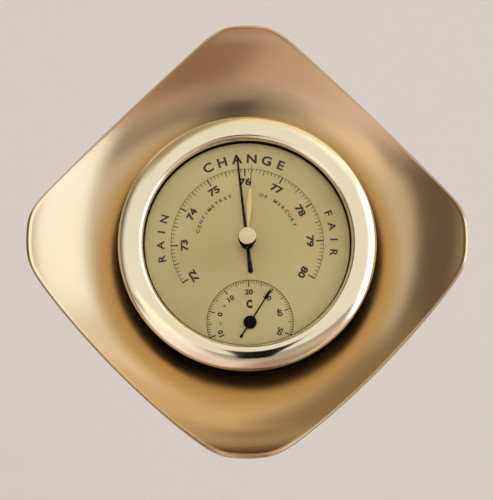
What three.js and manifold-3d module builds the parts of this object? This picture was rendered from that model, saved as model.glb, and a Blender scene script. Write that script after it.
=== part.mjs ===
// Wall barometer with a thermometer in its dial, in millimetres.
// Modelled in dial coordinates: x right, y up, z out of the wall from the flat back of the case.
// The root group turns this so that z up is up and the dial looks along -Y.
import * as THREE from "three";
import { mergeVertices } from "three/addons/utils/BufferGeometryUtils.js";
import Module from "manifold-3d";

const wasm = await Module();
wasm.setup();

// Fits
const GAP = 0.3; // between two pieces that rest on each other
const RUN = 0.08; // radial, a shaft turning in its hole
const PRESS = 0.06; // radial, a piece pressed or screwed on a shaft

// Across the instrument
const DIAL_R = 40.95;
const DIAL_PLAY = 0.35; // dial edge to the rim ring
const CASE_WALL = 1;
const LIP_LAP = 0.65; // how far the opening in the bezel is wider than the dial
const GLASS_LAP = 1.7; // how far the glass reaches under the bezel's lip
const GLASS_PLAY = 0.5; // glass edge to the rebate in the rim ring
const BEZEL_W = 10.1;
const BEZEL_WALL = 1.2;
const LIP_WALL = 0.9;
const BEZEL_H = 3.9;
const CREST_IN = 2.2; // lip to the bezel's highest ring
const FACE_TURN = 24; // degrees that the face has turned down where its shoulder begins
const SHOULDER = 2.3; // rounding of the bezel's outer edge
const FLANGE_T = 1.8;
const RIM_WALL = 1.7; // part of the rim ring round the dial
const RIM_WEB = 1.5;
const REBATE = 0.85; // depth of the glass's seat in the rim ring
const SKIRT_WALL = 1.2; // outer wall of the rim ring, round the case's flange
const SKIRT_PLAY = 0.4;

// Depths of the case
const CASE_BACK = 1.2;
const DIAL_T = 0.8;
const DIAL_ABOVE_SEAT = 8.5;
const GLASS_ABOVE_DIAL = 2.15; // front edge of the glass
const LIP_ABOVE_GLASS = 0.85;
const GLASS_T = 1.5;
const GLASS_RISE = 6;
const DIAL_TURN = 2; // degrees anticlockwise, the instrument as it sits in its surround

// Surround plate: a diamond with cut corners, dished by an arc turned about the axis
const PLATE_T = 1.4;
const PLATE_HOLE_PLAY = 0.4;
const SEAT_W = 1.9; // flat ring that the case's flange sits on
const SIDE_AT = 72.4; // centre to the middle of a side
const SIDE_BOW_R = 360;
const CORNER_AT = 86.3; // centre to the cut of a corner
const CORNER_BOW_R = 2400;
const CORNER_SOFTNESS = 40; // the higher, the sharper the shoulders of a cut corner
const CORNER_SLOPE = 54.5; // degrees that the dish has turned up at a cut corner

// Movement
const BASE_T = 1.7;
const BASE_EDGE = 2.1; // metal round the outermost pillar
const TRAIN_T = 1;
const BRIDGE_T = 1;
const BRIDGE_PILLAR_H = 4.2;
const HEAD_T = 0.8; // screw heads
const PILLAR_R = 1.6;
const PILLAR_Y = 12.5;
const CAPSULE_R = 18;
const CAPSULE_H = 6.4;
const CAPSULE_RIM_T = 1;
const WAVE_H = 0.7;
const POST_PLAY = 0.7; // room under the post's flange for its travel
const POST_FLANGE_T = 0.5;
const POST_R = 1.2;
const LEVER = 4; // rocker shaft to the capsule's post
const SPRING_T = 0.7;
const SPRING_W = 12;
const ROCKER_R = 0.9;
const ROCKER_TO_TRAIN = 2;
const PIN_R = 0.5;
const TAIL = 3; // sector pivot to the slot that the rocker's pin works in
const ARBOR_R = 0.6;
const MODULE = 0.4;
const PINION_TEETH = 10;
const SECTOR_TEETH = 100; // of the whole circle that the sector is cut from
const SECTOR_CUT_TEETH = 11;
const SHIFT = 0.5; // profile shift, in modules, so that the small pinion isn't undercut
const THINNING = 0.06; // taken off each tooth at the pitch circle
const SECTOR_ABOVE_TRAIN = 2.5;
const SECTOR_T = 0.8;
const HAIRSPRING_R = 5;
const KEYHOLE_Y = 31;
const KEYHOLE_R = 4.3;
const KEYHOLE_SLOT_R = 2.4;
const KEYHOLE_RISE = 6;

// Hands, knob and thermometer
const HAND_TURN = 96.6; // degrees from x, anticlockwise
const HAND_TIP = 36.2;
const HAND_TAIL = 12.4;
const HAND_T = 0.35;
const HAND_DISC_R = 2.6; // disc round the eye of the indicating hand
const SET_TURN = 86.8;
const SET_TIP = 31.7;
const SET_T = 0.4;
const STEM_R = 0.9;
const BUSH_R = 1.6;
const KNOB_R = 3.5;
const KNOB_H = 6.6;
const THERMO_IN = 8.85; // dial edge to the thermometer's centre
const THERMO_TURN = 58;
const THERMO_TIP = 16;
const THERMO_TAIL = 7.2;
const THERMO_ARBOR_R = 0.5;
const THERMO_DEPTH = 7.3; // its bracket, behind the dial
const COIL_R = 5.8;
const HUB_R = 2.6;

// Heights of the movement, from the case's back to the dial
const BASE_Z = CASE_BACK + GAP;
const BASE_TOP = BASE_Z + BASE_T;
const CAPSULE_Z = BASE_TOP + GAP;
const POST_Z = CAPSULE_Z + CAPSULE_H + POST_PLAY;
const TIP_Z = POST_Z + POST_FLANGE_T + 0.6;
const ROCKER_Z = TIP_Z + SPRING_T + 0.6;
const TRAIN_Z = ROCKER_Z + ROCKER_TO_TRAIN;
const TRAIN_TOP = TRAIN_Z + TRAIN_T;
const SECTOR_Z = TRAIN_TOP + SECTOR_ABOVE_TRAIN;
const BRIDGE_Z = TRAIN_TOP + GAP + BRIDGE_PILLAR_H + GAP;
const BRIDGE_TOP = BRIDGE_Z + BRIDGE_T;
const DIAL_BACK = BRIDGE_TOP + GAP + HEAD_T + GAP;
const DIAL_Z = DIAL_BACK + DIAL_T;

// Heights and radii of the case
const SEAT_Z = DIAL_Z - DIAL_ABOVE_SEAT;
const FLANGE_Z = SEAT_Z + GAP + FLANGE_T; // front of the flange
const GLASS_EDGE_Z = DIAL_Z + GLASS_ABOVE_DIAL;
const LIP_Z = GLASS_EDGE_Z + LIP_ABOVE_GLASS;
const GLASS_SEAT_Z = GLASS_EDGE_Z - GLASS_T - GAP;
const RIM_TOP = GLASS_SEAT_Z + REBATE; // carries the bezel
const RIM_R = DIAL_R + DIAL_PLAY;
const CASE_R = RIM_R + CASE_WALL;
const LIP_R = DIAL_R + LIP_LAP;
const GLASS_R = LIP_R + GLASS_LAP;
const BEZEL_R = LIP_R + BEZEL_W;
const FLANGE_R = BEZEL_R - SKIRT_WALL - SKIRT_PLAY;
const PLATE_HOLE_R = CASE_R + PLATE_HOLE_PLAY;
const SEAT_R = PLATE_HOLE_R + SEAT_W;
const DISH_R = (CORNER_AT - SEAT_R) / Math.sin(THREE.MathUtils.degToRad(CORNER_SLOPE));

// Places across the movement
const rad = THREE.MathUtils.degToRad;
const CENTRES = (MODULE * (PINION_TEETH + SECTOR_TEETH)) / 2;
const HAND_AT = [0, 0];
const SECTOR_AT = [-CENTRES, 0];
const CAPSULE_AT = [0, -LEVER];
const PIN_X = SECTOR_AT[0] - TAIL;
const PILLARS_RIGHT = CAPSULE_R + PILLAR_R + 1;
const TRAIN_PILLARS = [PIN_X, PILLARS_RIGHT].flatMap((x) => [[x, PILLAR_Y], [x, -PILLAR_Y]]);
const BASE_R = Math.hypot(PIN_X, PILLAR_Y) + BASE_EDGE;
const BASE_FLAT = KEYHOLE_Y - KEYHOLE_R - 1.7; // the base is cut straight to clear the keyhole
const BASE_SCREW_R = CAPSULE_R + LEVER + 4.6;
const BASE_SCREWS = [
  ...[236, 304].map((a) => [BASE_SCREW_R * Math.cos(rad(a)), BASE_SCREW_R * Math.sin(rad(a))]),
  [0, BASE_FLAT - 3.5],
];
const BRIDGE_PILLARS = [PILLAR_Y - 0.5, 0.5 - PILLAR_Y].map((y) => [-12, y]);
const DIAL_FEET = [[9, PILLAR_Y - 0.5], [9, 0.5 - PILLAR_Y], [PIN_X, -8]];
const THERMO_R = DIAL_R - THERMO_IN;
const THERMO_AT = [THERMO_R * Math.sin(rad(DIAL_TURN)), -THERMO_R * Math.cos(rad(DIAL_TURN))];

// Heights in front of the dial
const BUSH_FOOT_Z = DIAL_Z + GAP; // foot of the indicating hand's bush
const HAND_Z = DIAL_Z + 0.8;
const BUSH_CAP_Z = HAND_Z + HAND_T + 0.6;
const THERMO_HAND_Z = DIAL_Z + 0.4;
const HUB_Z = THERMO_HAND_Z + HAND_T + 0.25;
const SET_Z = BUSH_CAP_Z + 0.85;
const GLASS_BALL = (GLASS_R ** 2 + GLASS_RISE ** 2) / (2 * GLASS_RISE);
const glassFront = (r) =>
  GLASS_EDGE_Z + GLASS_RISE - GLASS_BALL + Math.sqrt(GLASS_BALL ** 2 - r ** 2);
const NUT_T = 0.8;
const NUT_TOP = glassFront(0) - GLASS_T - GAP;
const GLASS_BUSH_Z = NUT_TOP - NUT_T - GAP;
const GLASS_BUSH_HEAD_Z = glassFront(0) + GAP;
const GLASS_BUSH_HEAD_T = 0.5;
const WASHER_T = 0.5;
const WASHER_Z = GLASS_BUSH_Z - GAP - WASHER_T;
const COLLAR_T = 0.6;
const KNOB_Z = GLASS_BUSH_HEAD_Z + GLASS_BUSH_HEAD_T + GAP;

const root = new THREE.Group();
root.name = "barometer";
root.rotation.x = Math.PI / 2;

// Colour, metalness and roughness of each finish
const FINISH = {
  surround: [0xc2a876, 0.9, 0.35],
  gilt: [0xd4ad62, 1, 0.2],
  bezel: [0xe6d4a8, 1, 0.12],
  steel: [0xa0a1a5, 0.9, 0.35],
  brass: [0xb8944d, 0.9, 0.35],
  dial: [0x998c66, 0.4, 0.5],
  rim: [0x1a1712, 0.3, 0.5],
  black: [0x080808, 0.1, 0.3],
  glass: [0xf4f6f2, 0, 0.05],
};

// A closed geometry as a solid that can be joined and cut
function solid(shape) {
  if (!shape.isBufferGeometry) return shape;
  const bare = (shape.index ? shape.toNonIndexed() : shape).clone();
  for (const key of Object.keys(bare.attributes))
    if (key !== "position") bare.deleteAttribute(key);
  const merged = mergeVertices(bare, 1e-3);
  return new wasm.Manifold(
    new wasm.Mesh({
      numProp: 3,
      vertProperties: merged.attributes.position.array,
      triVerts: new Uint32Array(merged.index.array),
    }),
  );
}
const join = (...shapes) => shapes.map(solid).reduce((a, b) => a.add(b));
const cut = (shape, ...tools) =>
  tools.map(solid).reduce((a, b) => a.subtract(b), solid(shape));

// One named piece, with a material of its own
function piece(name, shape, finish) {
  const m = solid(shape).getMesh();
  const v = new Float32Array(m.numVert * 3);
  for (let i = 0; i < m.numVert; i++)
    v.set(m.vertProperties.subarray(i * m.numProp, i * m.numProp + 3), i * 3);
  const g = new THREE.BufferGeometry()
    .setAttribute("position", new THREE.BufferAttribute(v, 3))
    .setIndex(new THREE.BufferAttribute(m.triVerts, 1));
  g.computeVertexNormals();
  const [color, metalness, roughness] = FINISH[finish];
  const mesh = new THREE.Mesh(
    g,
    new THREE.MeshStandardMaterial({ color, metalness, roughness }),
  );
  mesh.name = name;
  root.add(mesh);
}

// A round bar or hole along z
function rod(r, z0, z1, [x, y] = [0, 0], sides = 12) {
  return new THREE.CylinderGeometry(r, r, z1 - z0, sides)
    .rotateX(Math.PI / 2)
    .translate(x, y, (z0 + z1) / 2);
}
// A round bar or hole along x
function bar(r, x0, x1, y, z, sides = 12) {
  return new THREE.CylinderGeometry(r, r, x1 - x0, sides)
    .rotateZ(-Math.PI / 2)
    .translate((x0 + x1) / 2, y, z);
}
function block([x0, x1], [y0, y1], [z0, z1]) {
  return new THREE.BoxGeometry(x1 - x0, y1 - y0, z1 - z0).translate(
    (x0 + x1) / 2,
    (y0 + y1) / 2,
    (z0 + z1) / 2,
  );
}
// A hole along z through whatever it is cut from
const THROUGH = [-5, DIAL_Z + 60];
const hole = (r, at, sides) => rod(r, ...THROUGH, at, sides);

// A closed profile of [radius, height] turned about an axis along z
function turned(profile, sides, [x, y] = [0, 0]) {
  const pts = profile.map(([r, z]) => new THREE.Vector2(r, z));
  pts.push(pts[0].clone());
  return new THREE.LatheGeometry(pts, sides)
    .rotateX(Math.PI / 2)
    .translate(x, y, 0);
}
// A flat outline between two heights, turned by an angle and set at a place
function sheet(points, [z0, z1], degrees = 0, [x, y] = [0, 0], holes = []) {
  const path = (list) => list.map(([a, b]) => new THREE.Vector2(a, b));
  const shape = new THREE.Shape(path(points));
  for (const list of holes) shape.holes.push(new THREE.Path(path(list)));
  return new THREE.ExtrudeGeometry(shape, { depth: z1 - z0, bevelEnabled: false })
    .rotateZ(rad(degrees))
    .translate(x, y, z0);
}
// Points on an ellipse of half axes a and b, between two angles in degrees
function oval(a, b, from, to, steps, [x, y] = [0, 0]) {
  return Array.from({ length: steps + 1 }, (_, i) => {
    const t = rad(from + ((to - from) * i) / steps);
    return [x + a * Math.cos(t), y + b * Math.sin(t)];
  });
}
const arc = (r, ...rest) => oval(r, r, ...rest);

// A thin strip wound in a spiral, as a closed outline
function spiral(r0, r1, turns, thick, from, perTurn) {
  const steps = Math.round(turns * perTurn);
  const side = (off) =>
    Array.from({ length: steps + 1 }, (_, i) => {
      const a = rad(from) + (turns * 2 * Math.PI * i) / steps;
      const r = r0 + ((r1 - r0) * i) / steps + off;
      return [r * Math.cos(a), r * Math.sin(a)];
    });
  return [...side(thick / 2), ...side(-thick / 2).reverse()];
}

// Surround plate: its outline rounds off the least of four sides and four cut corners
function bowReach(angle, at, radius) {
  const c = at - radius;
  if (Math.cos(angle) < 0.2) return Infinity;
  return c * Math.cos(angle) + Math.sqrt(radius ** 2 - (c * Math.sin(angle)) ** 2);
}
function plateReach(angle) {
  let sum = 0;
  for (let k = 0; k < 4; k++) {
    const corner = angle - rad(90 * k);
    sum += bowReach(corner, CORNER_AT, CORNER_BOW_R) ** -CORNER_SOFTNESS;
    sum += bowReach(corner - rad(45), SIDE_AT, SIDE_BOW_R) ** -CORNER_SOFTNESS;
  }
  return sum ** (-1 / CORNER_SOFTNESS);
}
// One closed grid of rings, its rim square to the sloping face
{
  const eighth = [0, 3, 6, 8, 9.5, 11, 12.5, 14, 16, 19, 23, 28, 34, 40];
  const quarter = [...eighth, 45, ...eighth.slice(1).reverse().map((a) => 90 - a)];
  const angles = [0, 90, 180, 270].flatMap((k) => quarter.map((a) => rad(a + k)));
  const steps = 5;
  const sections = angles.map((a) => {
    const reach = plateReach(a);
    const front = [[PLATE_HOLE_R, SEAT_Z, 0]];
    for (let i = 0; i <= steps; i++) {
      const across = ((reach - SEAT_R) * i) / steps;
      const rise = DISH_R - Math.sqrt(DISH_R ** 2 - across ** 2);
      front.push([SEAT_R + across, SEAT_Z + rise, across / DISH_R]);
    }
    const back = front
      .map(([r, z, s]) => [r + PLATE_T * s, z - PLATE_T * Math.sqrt(1 - s * s)])
      .reverse();
    return [...front, ...back].map(([r, z]) => [r * Math.cos(a), r * Math.sin(a), z]);
  });
  const per = sections[0].length;
  const index = [];
  sections.forEach((_, i) => {
    const j = (i + 1) % sections.length;
    for (let k = 0; k < per; k++) {
      const n = (k + 1) % per;
      index.push(i * per + k, i * per + n, j * per + n);
      index.push(i * per + k, j * per + n, j * per + k);
    }
  });
  const plate = new THREE.BufferGeometry();
  plate.setAttribute("position", new THREE.Float32BufferAttribute(sections.flat(2), 3));
  plate.setIndex(index);
  piece("surround_plate", plate, "surround");
}

// Case: a drawn cup with a flange, a keyhole to hang it by and a hole for the adjusting screw
const SCREW_R = 0.8;
const ADJUST_HEAD_R = 2.6;
{
  const under = SEAT_Z + GAP; // of the flange, which steps out over the rising dish
  const step = 0.5;
  const inner = CASE_R - CASE_WALL;
  const round = 1.3;
  const cup = turned(
    [
      [0, 0], ...arc(round, 270, 360, 2, [CASE_R - round, round]), [CASE_R, under],
      [SEAT_R + 1, under], [SEAT_R + 2.2, under + step], [FLANGE_R - 0.3, under + step],
      [FLANGE_R, under + step + 0.3], [FLANGE_R, FLANGE_Z - 0.4], [FLANGE_R - 0.4, FLANGE_Z],
      [inner, FLANGE_Z], [inner, CASE_BACK + 0.8], [inner - 0.8, CASE_BACK], [0, CASE_BACK],
    ],
    60,
  );
  const slotEnd = [0, KEYHOLE_Y + KEYHOLE_RISE];
  const back = [-1, CASE_BACK + 1];
  piece(
    "case_cup",
    cut(
      cup,
      rod(KEYHOLE_R, ...back, [0, KEYHOLE_Y], 28),
      block([-KEYHOLE_SLOT_R, KEYHOLE_SLOT_R], [KEYHOLE_Y, slotEnd[1]], back),
      rod(KEYHOLE_SLOT_R, ...back, slotEnd, 20),
      rod(ADJUST_HEAD_R + 0.4, ...back, CAPSULE_AT, 28),
      ...BASE_SCREWS.map((at) => rod(SCREW_R + RUN, ...back, at)),
    ),
    "gilt",
  );
}

// Ring nut that draws the case's flange on to the surround, with slots for a spanner
{
  const NUT_H = 3.6;
  const NUT_W = 5;
  const top = SEAT_Z - PLATE_T - GAP;
  const inside = CASE_R + GAP;
  const ring = turned(
    [
      [inside, top - NUT_H], [inside + NUT_W - 0.4, top - NUT_H],
      [inside + NUT_W, top - NUT_H + 0.4], [inside + NUT_W, top], [inside, top],
    ],
    48,
  );
  const slots = [0, 60, 120].map((a) =>
    block([-2 * CASE_R, 2 * CASE_R], [-1.6, 1.6], [top - NUT_H - 1, top - NUT_H / 1.5]).rotateZ(
      rad(a),
    ),
  );
  piece("ring_nut", cut(ring, ...slots), "steel");
}

// Bezel: a thin ring with a rounded face and shoulder, open behind, whose lip holds the glass
{
  const foot = RIM_TOP + GAP;
  const top = foot + BEZEL_H;
  const crestR = LIP_R + CREST_IN;
  const turn = rad(FACE_TURN);
  const faceR = (BEZEL_W - CREST_IN - SHOULDER * (1 - Math.sin(turn))) / Math.sin(turn);
  const faceAt = [crestR, top - faceR];
  const shoulderAt = [BEZEL_R - SHOULDER, faceAt[1] + (faceR - SHOULDER) * Math.cos(turn)];
  const outside = [
    [BEZEL_R, foot],
    ...arc(SHOULDER, 0, 90 - FACE_TURN, 5, shoulderAt),
    ...arc(faceR, 90 - FACE_TURN, 90, 4, faceAt).slice(1),
    ...oval(CREST_IN, top - LIP_Z, 90, 180, 3, [crestR, LIP_Z]).slice(1),
  ];
  const wallR = BEZEL_R - BEZEL_WALL;
  const rearR = faceR - BEZEL_WALL;
  const rearEnd = THREE.MathUtils.radToDeg(Math.acos((wallR - crestR) / rearR));
  const inside = [
    ...oval(CREST_IN - LIP_WALL, top - LIP_Z - BEZEL_WALL, 180, 90, 2, [crestR, LIP_Z]),
    ...arc(rearR, 90, rearEnd, 3, faceAt).slice(1),
    [wallR, foot],
  ];
  piece("bezel", turned([...outside, ...inside], 66), "bezel");
}

// Rim: a pressed ring on the flange, round the dial, that carries the bezel, with a rebate for
// the glass. Its skirt goes down round the flange, to just off the rising dish.
{
  const foot = FLANGE_Z + GAP;
  const wall = RIM_R + RIM_WALL;
  const skirt = BEZEL_R - SKIRT_WALL;
  const rebateR = GLASS_R + GLASS_PLAY;
  const rise = DISH_R - Math.sqrt(DISH_R ** 2 - (BEZEL_R - SEAT_R) ** 2);
  const hem = SEAT_Z + rise + GAP;
  piece(
    "dial_rim",
    turned(
      [
        [RIM_R, foot], [wall, foot], [wall, GLASS_SEAT_Z - RIM_WEB],
        [skirt, GLASS_SEAT_Z - RIM_WEB], [skirt, hem], [BEZEL_R, hem], [BEZEL_R, RIM_TOP],
        [rebateR, RIM_TOP], [rebateR, GLASS_SEAT_Z], [RIM_R, GLASS_SEAT_Z],
      ],
      60,
    ),
    "rim",
  );
}

// Glass: a shallow dome with a hole for the set hand's bush
{
  const middle = BUSH_R + GAP;
  const stations = [0, 0.24, 0.48, 0.7, 0.87, 1].map((t) => middle + t * (GLASS_R - middle));
  const front = stations.map((r) => [r, glassFront(r)]);
  const rear = front.map(([r, z]) => [r, z - GLASS_T]);
  piece("glass", turned([...rear, ...front.reverse()], 54), "glass");
}

// Dial and its feet
piece(
  "dial_plate",
  cut(
    rod(DIAL_R, DIAL_BACK, DIAL_Z, HAND_AT, 60),
    hole(ARBOR_R + 0.9, HAND_AT),
    hole(THERMO_ARBOR_R + 0.7, THERMO_AT),
  ),
  "dial",
);
DIAL_FEET.forEach((at, i) =>
  piece("dial_foot_" + (i + 1), rod(1.3, TRAIN_TOP + GAP, DIAL_BACK - GAP, at), "brass"),
);

// Base of the movement
const TENON_R = 0.9;
const SMALL_SCREW_R = 0.7;
const SPRING_SCREWS = [-3.4, 3.4].map((x) => [x, CAPSULE_AT[1] - CAPSULE_R - 4.2]);
piece(
  "base_plate",
  cut(
    rod(BASE_R, BASE_Z, BASE_TOP, HAND_AT, 48),
    block([-BASE_R, BASE_R], [BASE_FLAT, 2 * BASE_R], THROUGH),
    ...BASE_SCREWS.map((at) => hole(SCREW_R + GAP, at)),
    ...TRAIN_PILLARS.map((at) => hole(TENON_R + PRESS, at)),
    ...SPRING_SCREWS.map((at) => hole(SMALL_SCREW_R + PRESS, at)),
    hole(POST_R + RUN, CAPSULE_AT, 20),
  ),
  "brass",
);

// A slotted screw, its head's underside at a height and its shank reaching down
function screw(name, at, seat, headR, shankR, length) {
  const slot = block([-2 * headR, 2 * headR], [-0.25, 0.25], [seat + 0.45, seat + 2]);
  piece(
    name,
    cut(
      join(rod(headR, seat, seat + HEAD_T, at, 14), rod(shankR, seat - length, seat + 0.2, at, 8)),
      slot.rotateZ(rad(35)).translate(...at, 0),
    ),
    "steel",
  );
}
BASE_SCREWS.forEach((at, i) =>
  screw("base_screw_" + (i + 1), at, BASE_TOP + GAP, 1.9, SCREW_R, BASE_TOP + GAP - 0.2),
);

// Pillars, train plate and the screws that hold it
const SMALL_SCREW_L = 3.6;
TRAIN_PILLARS.forEach((at, i) => {
  const foot = BASE_TOP + GAP;
  const head = TRAIN_Z - GAP;
  piece(
    "train_pillar_" + (i + 1),
    cut(
      join(rod(PILLAR_R, foot, head, at), rod(TENON_R, BASE_Z + 0.1, foot + 0.2, at)),
      rod(SMALL_SCREW_R + PRESS, head - SMALL_SCREW_L, head + 1, at),
    ),
    "brass",
  );
});
{
  const round = 3;
  const left = PIN_X - 6 + round;
  const right = PILLARS_RIGHT + 3.5 - round;
  const y = PILLAR_Y + 2 - round;
  piece(
    "train_plate",
    cut(
      sheet(
        [
          ...arc(round, 270, 360, 5, [right, -y]), ...arc(round, 0, 90, 5, [right, y]),
          ...arc(round, 90, 180, 5, [left, y]), ...arc(round, 180, 270, 5, [left, -y]),
        ],
        [TRAIN_Z, TRAIN_TOP],
      ),
      hole(ARBOR_R + RUN, HAND_AT),
      hole(ARBOR_R + RUN, SECTOR_AT),
      block([PIN_X - 1.2, PIN_X + 1.2], [-2.4, 2.4], THROUGH),
      ...TRAIN_PILLARS.map((at) => hole(SMALL_SCREW_R + 0.2, at)),
    ),
    "brass",
  );
}
TRAIN_PILLARS.forEach((at, i) =>
  screw("train_screw_" + (i + 1), at, TRAIN_TOP + GAP, 1.7, SMALL_SCREW_R, SMALL_SCREW_L),
);

// Corrugated capsule, solid, and the post on its middle that moves with it
{
  const foot = 3; // radius of the bosses on its two faces
  const rim = 0.6;
  const waves = 7;
  const pitch = (CAPSULE_R - rim - foot - 1.2) / waves;
  const face = (z, up) =>
    Array.from({ length: waves }, (_, i) => [
      foot + 1.4 + pitch * i,
      z + up * (i % 2 ? 0 : WAVE_H),
    ]);
  const middle = CAPSULE_Z + CAPSULE_H / 2 + 0.45;
  const top = CAPSULE_Z + CAPSULE_H;
  piece(
    "capsule",
    turned(
      [
        [0, CAPSULE_Z], [foot, CAPSULE_Z], [foot, CAPSULE_Z + 1.1], ...face(CAPSULE_Z + 0.9, 1),
        [CAPSULE_R - rim, middle - 0.8], [CAPSULE_R, middle - CAPSULE_RIM_T / 2],
        [CAPSULE_R, middle + CAPSULE_RIM_T / 2], [CAPSULE_R - rim, middle + 0.8],
        ...face(top - 0.3, -1).reverse(), [foot, top], [0, top],
      ],
      28,
      CAPSULE_AT,
    ),
    "steel",
  );
  piece(
    "capsule_post",
    join(
      rod(2.6, POST_Z, POST_Z + POST_FLANGE_T, CAPSULE_AT, 24),
      rod(POST_R, POST_Z + 0.1, ROCKER_Z, CAPSULE_AT),
    ),
    "steel",
  );
}

// Main spring: a broad leaf from a foot on the base, round behind and over to the capsule's post
{
  const footY = CAPSULE_AT[1] - CAPSULE_R - 1.2;
  const bendY = footY - 5.8;
  const low = BASE_TOP + GAP + SPRING_T / 2;
  const high = TIP_Z + 2.4 + SPRING_T / 2;
  const bendR = (high - low) / 2;
  const tip = TIP_Z + SPRING_T / 2;
  const middle = [
    [footY, low],
    ...arc(bendR, 270, 90, 8, [bendY, low + bendR]),
    [CAPSULE_AT[1] - 4, tip],
    [CAPSULE_AT[1] + 2.6, tip],
  ];
  const side = (sign) =>
    middle.map(([y, z], i) => {
      const [ay, az] = middle[Math.max(i - 1, 0)];
      const [by, bz] = middle[Math.min(i + 1, middle.length - 1)];
      const k = (sign * SPRING_T) / 2 / Math.hypot(by - ay, bz - az);
      return [y - k * (bz - az), z + k * (by - ay)];
    });
  const outline = [...side(1), ...side(-1).reverse()].map((p) => new THREE.Vector2(...p));
  const leaf = new THREE.ExtrudeGeometry(new THREE.Shape(outline), {
    depth: SPRING_W,
    bevelEnabled: false,
  })
    .rotateX(Math.PI / 2)
    .rotateZ(Math.PI / 2)
    .translate(-SPRING_W / 2, 0, 0);
  piece(
    "main_spring",
    cut(
      leaf,
      rod(POST_R + 0.45, TIP_Z - 1, TIP_Z + 3, CAPSULE_AT, 24),
      ...SPRING_SCREWS.map((at) => rod(SMALL_SCREW_R + 0.2, 0, BASE_TOP + 2, at)),
    ),
    "steel",
  );
}
SPRING_SCREWS.forEach((at, i) =>
  screw(
    "spring_screw_" + (i + 1), at, BASE_TOP + GAP + SPRING_T + GAP, 1.5, SMALL_SCREW_R, 2.6,
  ),
);

// Rocker: a shaft with a short lever over the post and a tall pin in the sector's slot
const BEARING_T = 1.6;
const BEARINGS = { left: PIN_X - 3.4, right: 7.6 };
piece(
  "rocker",
  join(
    bar(ROCKER_R, BEARINGS.left - 1, BEARINGS.right + BEARING_T + 1, 0, ROCKER_Z),
    block(
      [-1.6, 1.6],
      [CAPSULE_AT[1] - 1.6, 0.5],
      [ROCKER_Z + GAP, ROCKER_Z + ROCKER_R + 0.3],
    ),
    rod(1.3, ROCKER_Z - 0.6, ROCKER_Z + 1.4, [PIN_X, 0]),
    rod(PIN_R, ROCKER_Z, SECTOR_Z + SECTOR_T + 0.5, [PIN_X, 0]),
  ),
  "steel",
);
for (const [side, x] of Object.entries(BEARINGS))
  piece(
    "rocker_bearing_" + side,
    cut(
      block([x, x + BEARING_T], [-2.2, 2.2], [ROCKER_Z - ROCKER_R - 1, TRAIN_Z - GAP]),
      bar(ROCKER_R + RUN, x - 1, x + BEARING_T + 1, 0, ROCKER_Z),
    ),
    "brass",
  );

// Involute teeth: one flank from root to tip, as [radius, half angle]
const PRESSURE = rad(20);
function flank(teeth, shift, root, tip) {
  const pitch = (MODULE * teeth) / 2;
  const base = pitch * Math.cos(PRESSURE);
  const inv = (a) => Math.tan(a) - a;
  const thick = MODULE * (Math.PI / 2 + 2 * shift * Math.tan(PRESSURE)) - THINNING;
  const half = (r) =>
    thick / (2 * pitch) + inv(PRESSURE) - inv(Math.acos(Math.min(1, base / r)));
  const from = Math.max(base, root);
  const points = base > root ? [[root, half(base)]] : [];
  for (let i = 0; i <= 4; i++) {
    const r = from + ((tip - from) * i) / 4;
    points.push([r, half(r)]);
  }
  return points;
}
// A row of teeth, each centred on an angle, with the root at 1.25 modules and the tip given
function teethOutline(teeth, centres, shift, addendum) {
  const pitch = (MODULE * teeth) / 2;
  const half = flank(teeth, shift, pitch - MODULE * (1.25 - shift), pitch + MODULE * addendum);
  return centres.flatMap((c) =>
    [...half.map(([r, a]) => [r, c - a]), ...half.map(([r, a]) => [r, c + a]).reverse()].map(
      ([r, a]) => [r * Math.cos(a), r * Math.sin(a)],
    ),
  );
}
// Sector: a slice of a wheel on its arbor, its tail slotted for the rocker's pin
{
  const step = 360 / SECTOR_TEETH;
  const first = (SECTOR_CUT_TEETH - 1) / 2;
  const centres = Array.from({ length: SECTOR_CUT_TEETH }, (_, i) => rad((i - first) * step));
  const pitch = (MODULE * SECTOR_TEETH) / 2;
  const edge = rad((first + 0.6) * step);
  const web = [pitch * 0.78 * Math.cos(edge), pitch * 0.78 * Math.sin(edge)];
  const tail = TAIL + 2.1;
  const hub = [[2.6, 2.1], [1.2, 2.4], [-1.2, 2], [1 - tail, 1.7], [-tail, 0.9]];
  const outline = [
    ...teethOutline(SECTOR_TEETH, centres, -SHIFT, 1 - SHIFT),
    web,
    ...hub,
    ...hub.map(([x, y]) => [x, -y]).reverse(),
    [web[0], -web[1]],
  ];
  const spokes = [...arc(pitch * 0.73, -14.5, 14.5, 8), ...arc(pitch * 0.25, 12, -12, 3)];
  const long = [-TAIL - 1.3, 1.2 - TAIL];
  const wide = PIN_R + 0.2;
  const slot = [[long[0], -wide], [long[1], -wide], [long[1], wide], [long[0], wide]];
  piece(
    "sector",
    sheet(outline, [SECTOR_Z, SECTOR_Z + SECTOR_T], 0, SECTOR_AT, [
      spokes,
      slot,
      arc(ARBOR_R + PRESS, 0, 342, 19),
    ]),
    "brass",
  );
  piece(
    "sector_arbor",
    join(
      rod(ARBOR_R, TRAIN_Z - 0.2, BRIDGE_TOP, SECTOR_AT),
      rod(1.3, TRAIN_TOP + 0.4, SECTOR_Z - 0.1, SECTOR_AT),
    ),
    "steel",
  );
}

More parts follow.
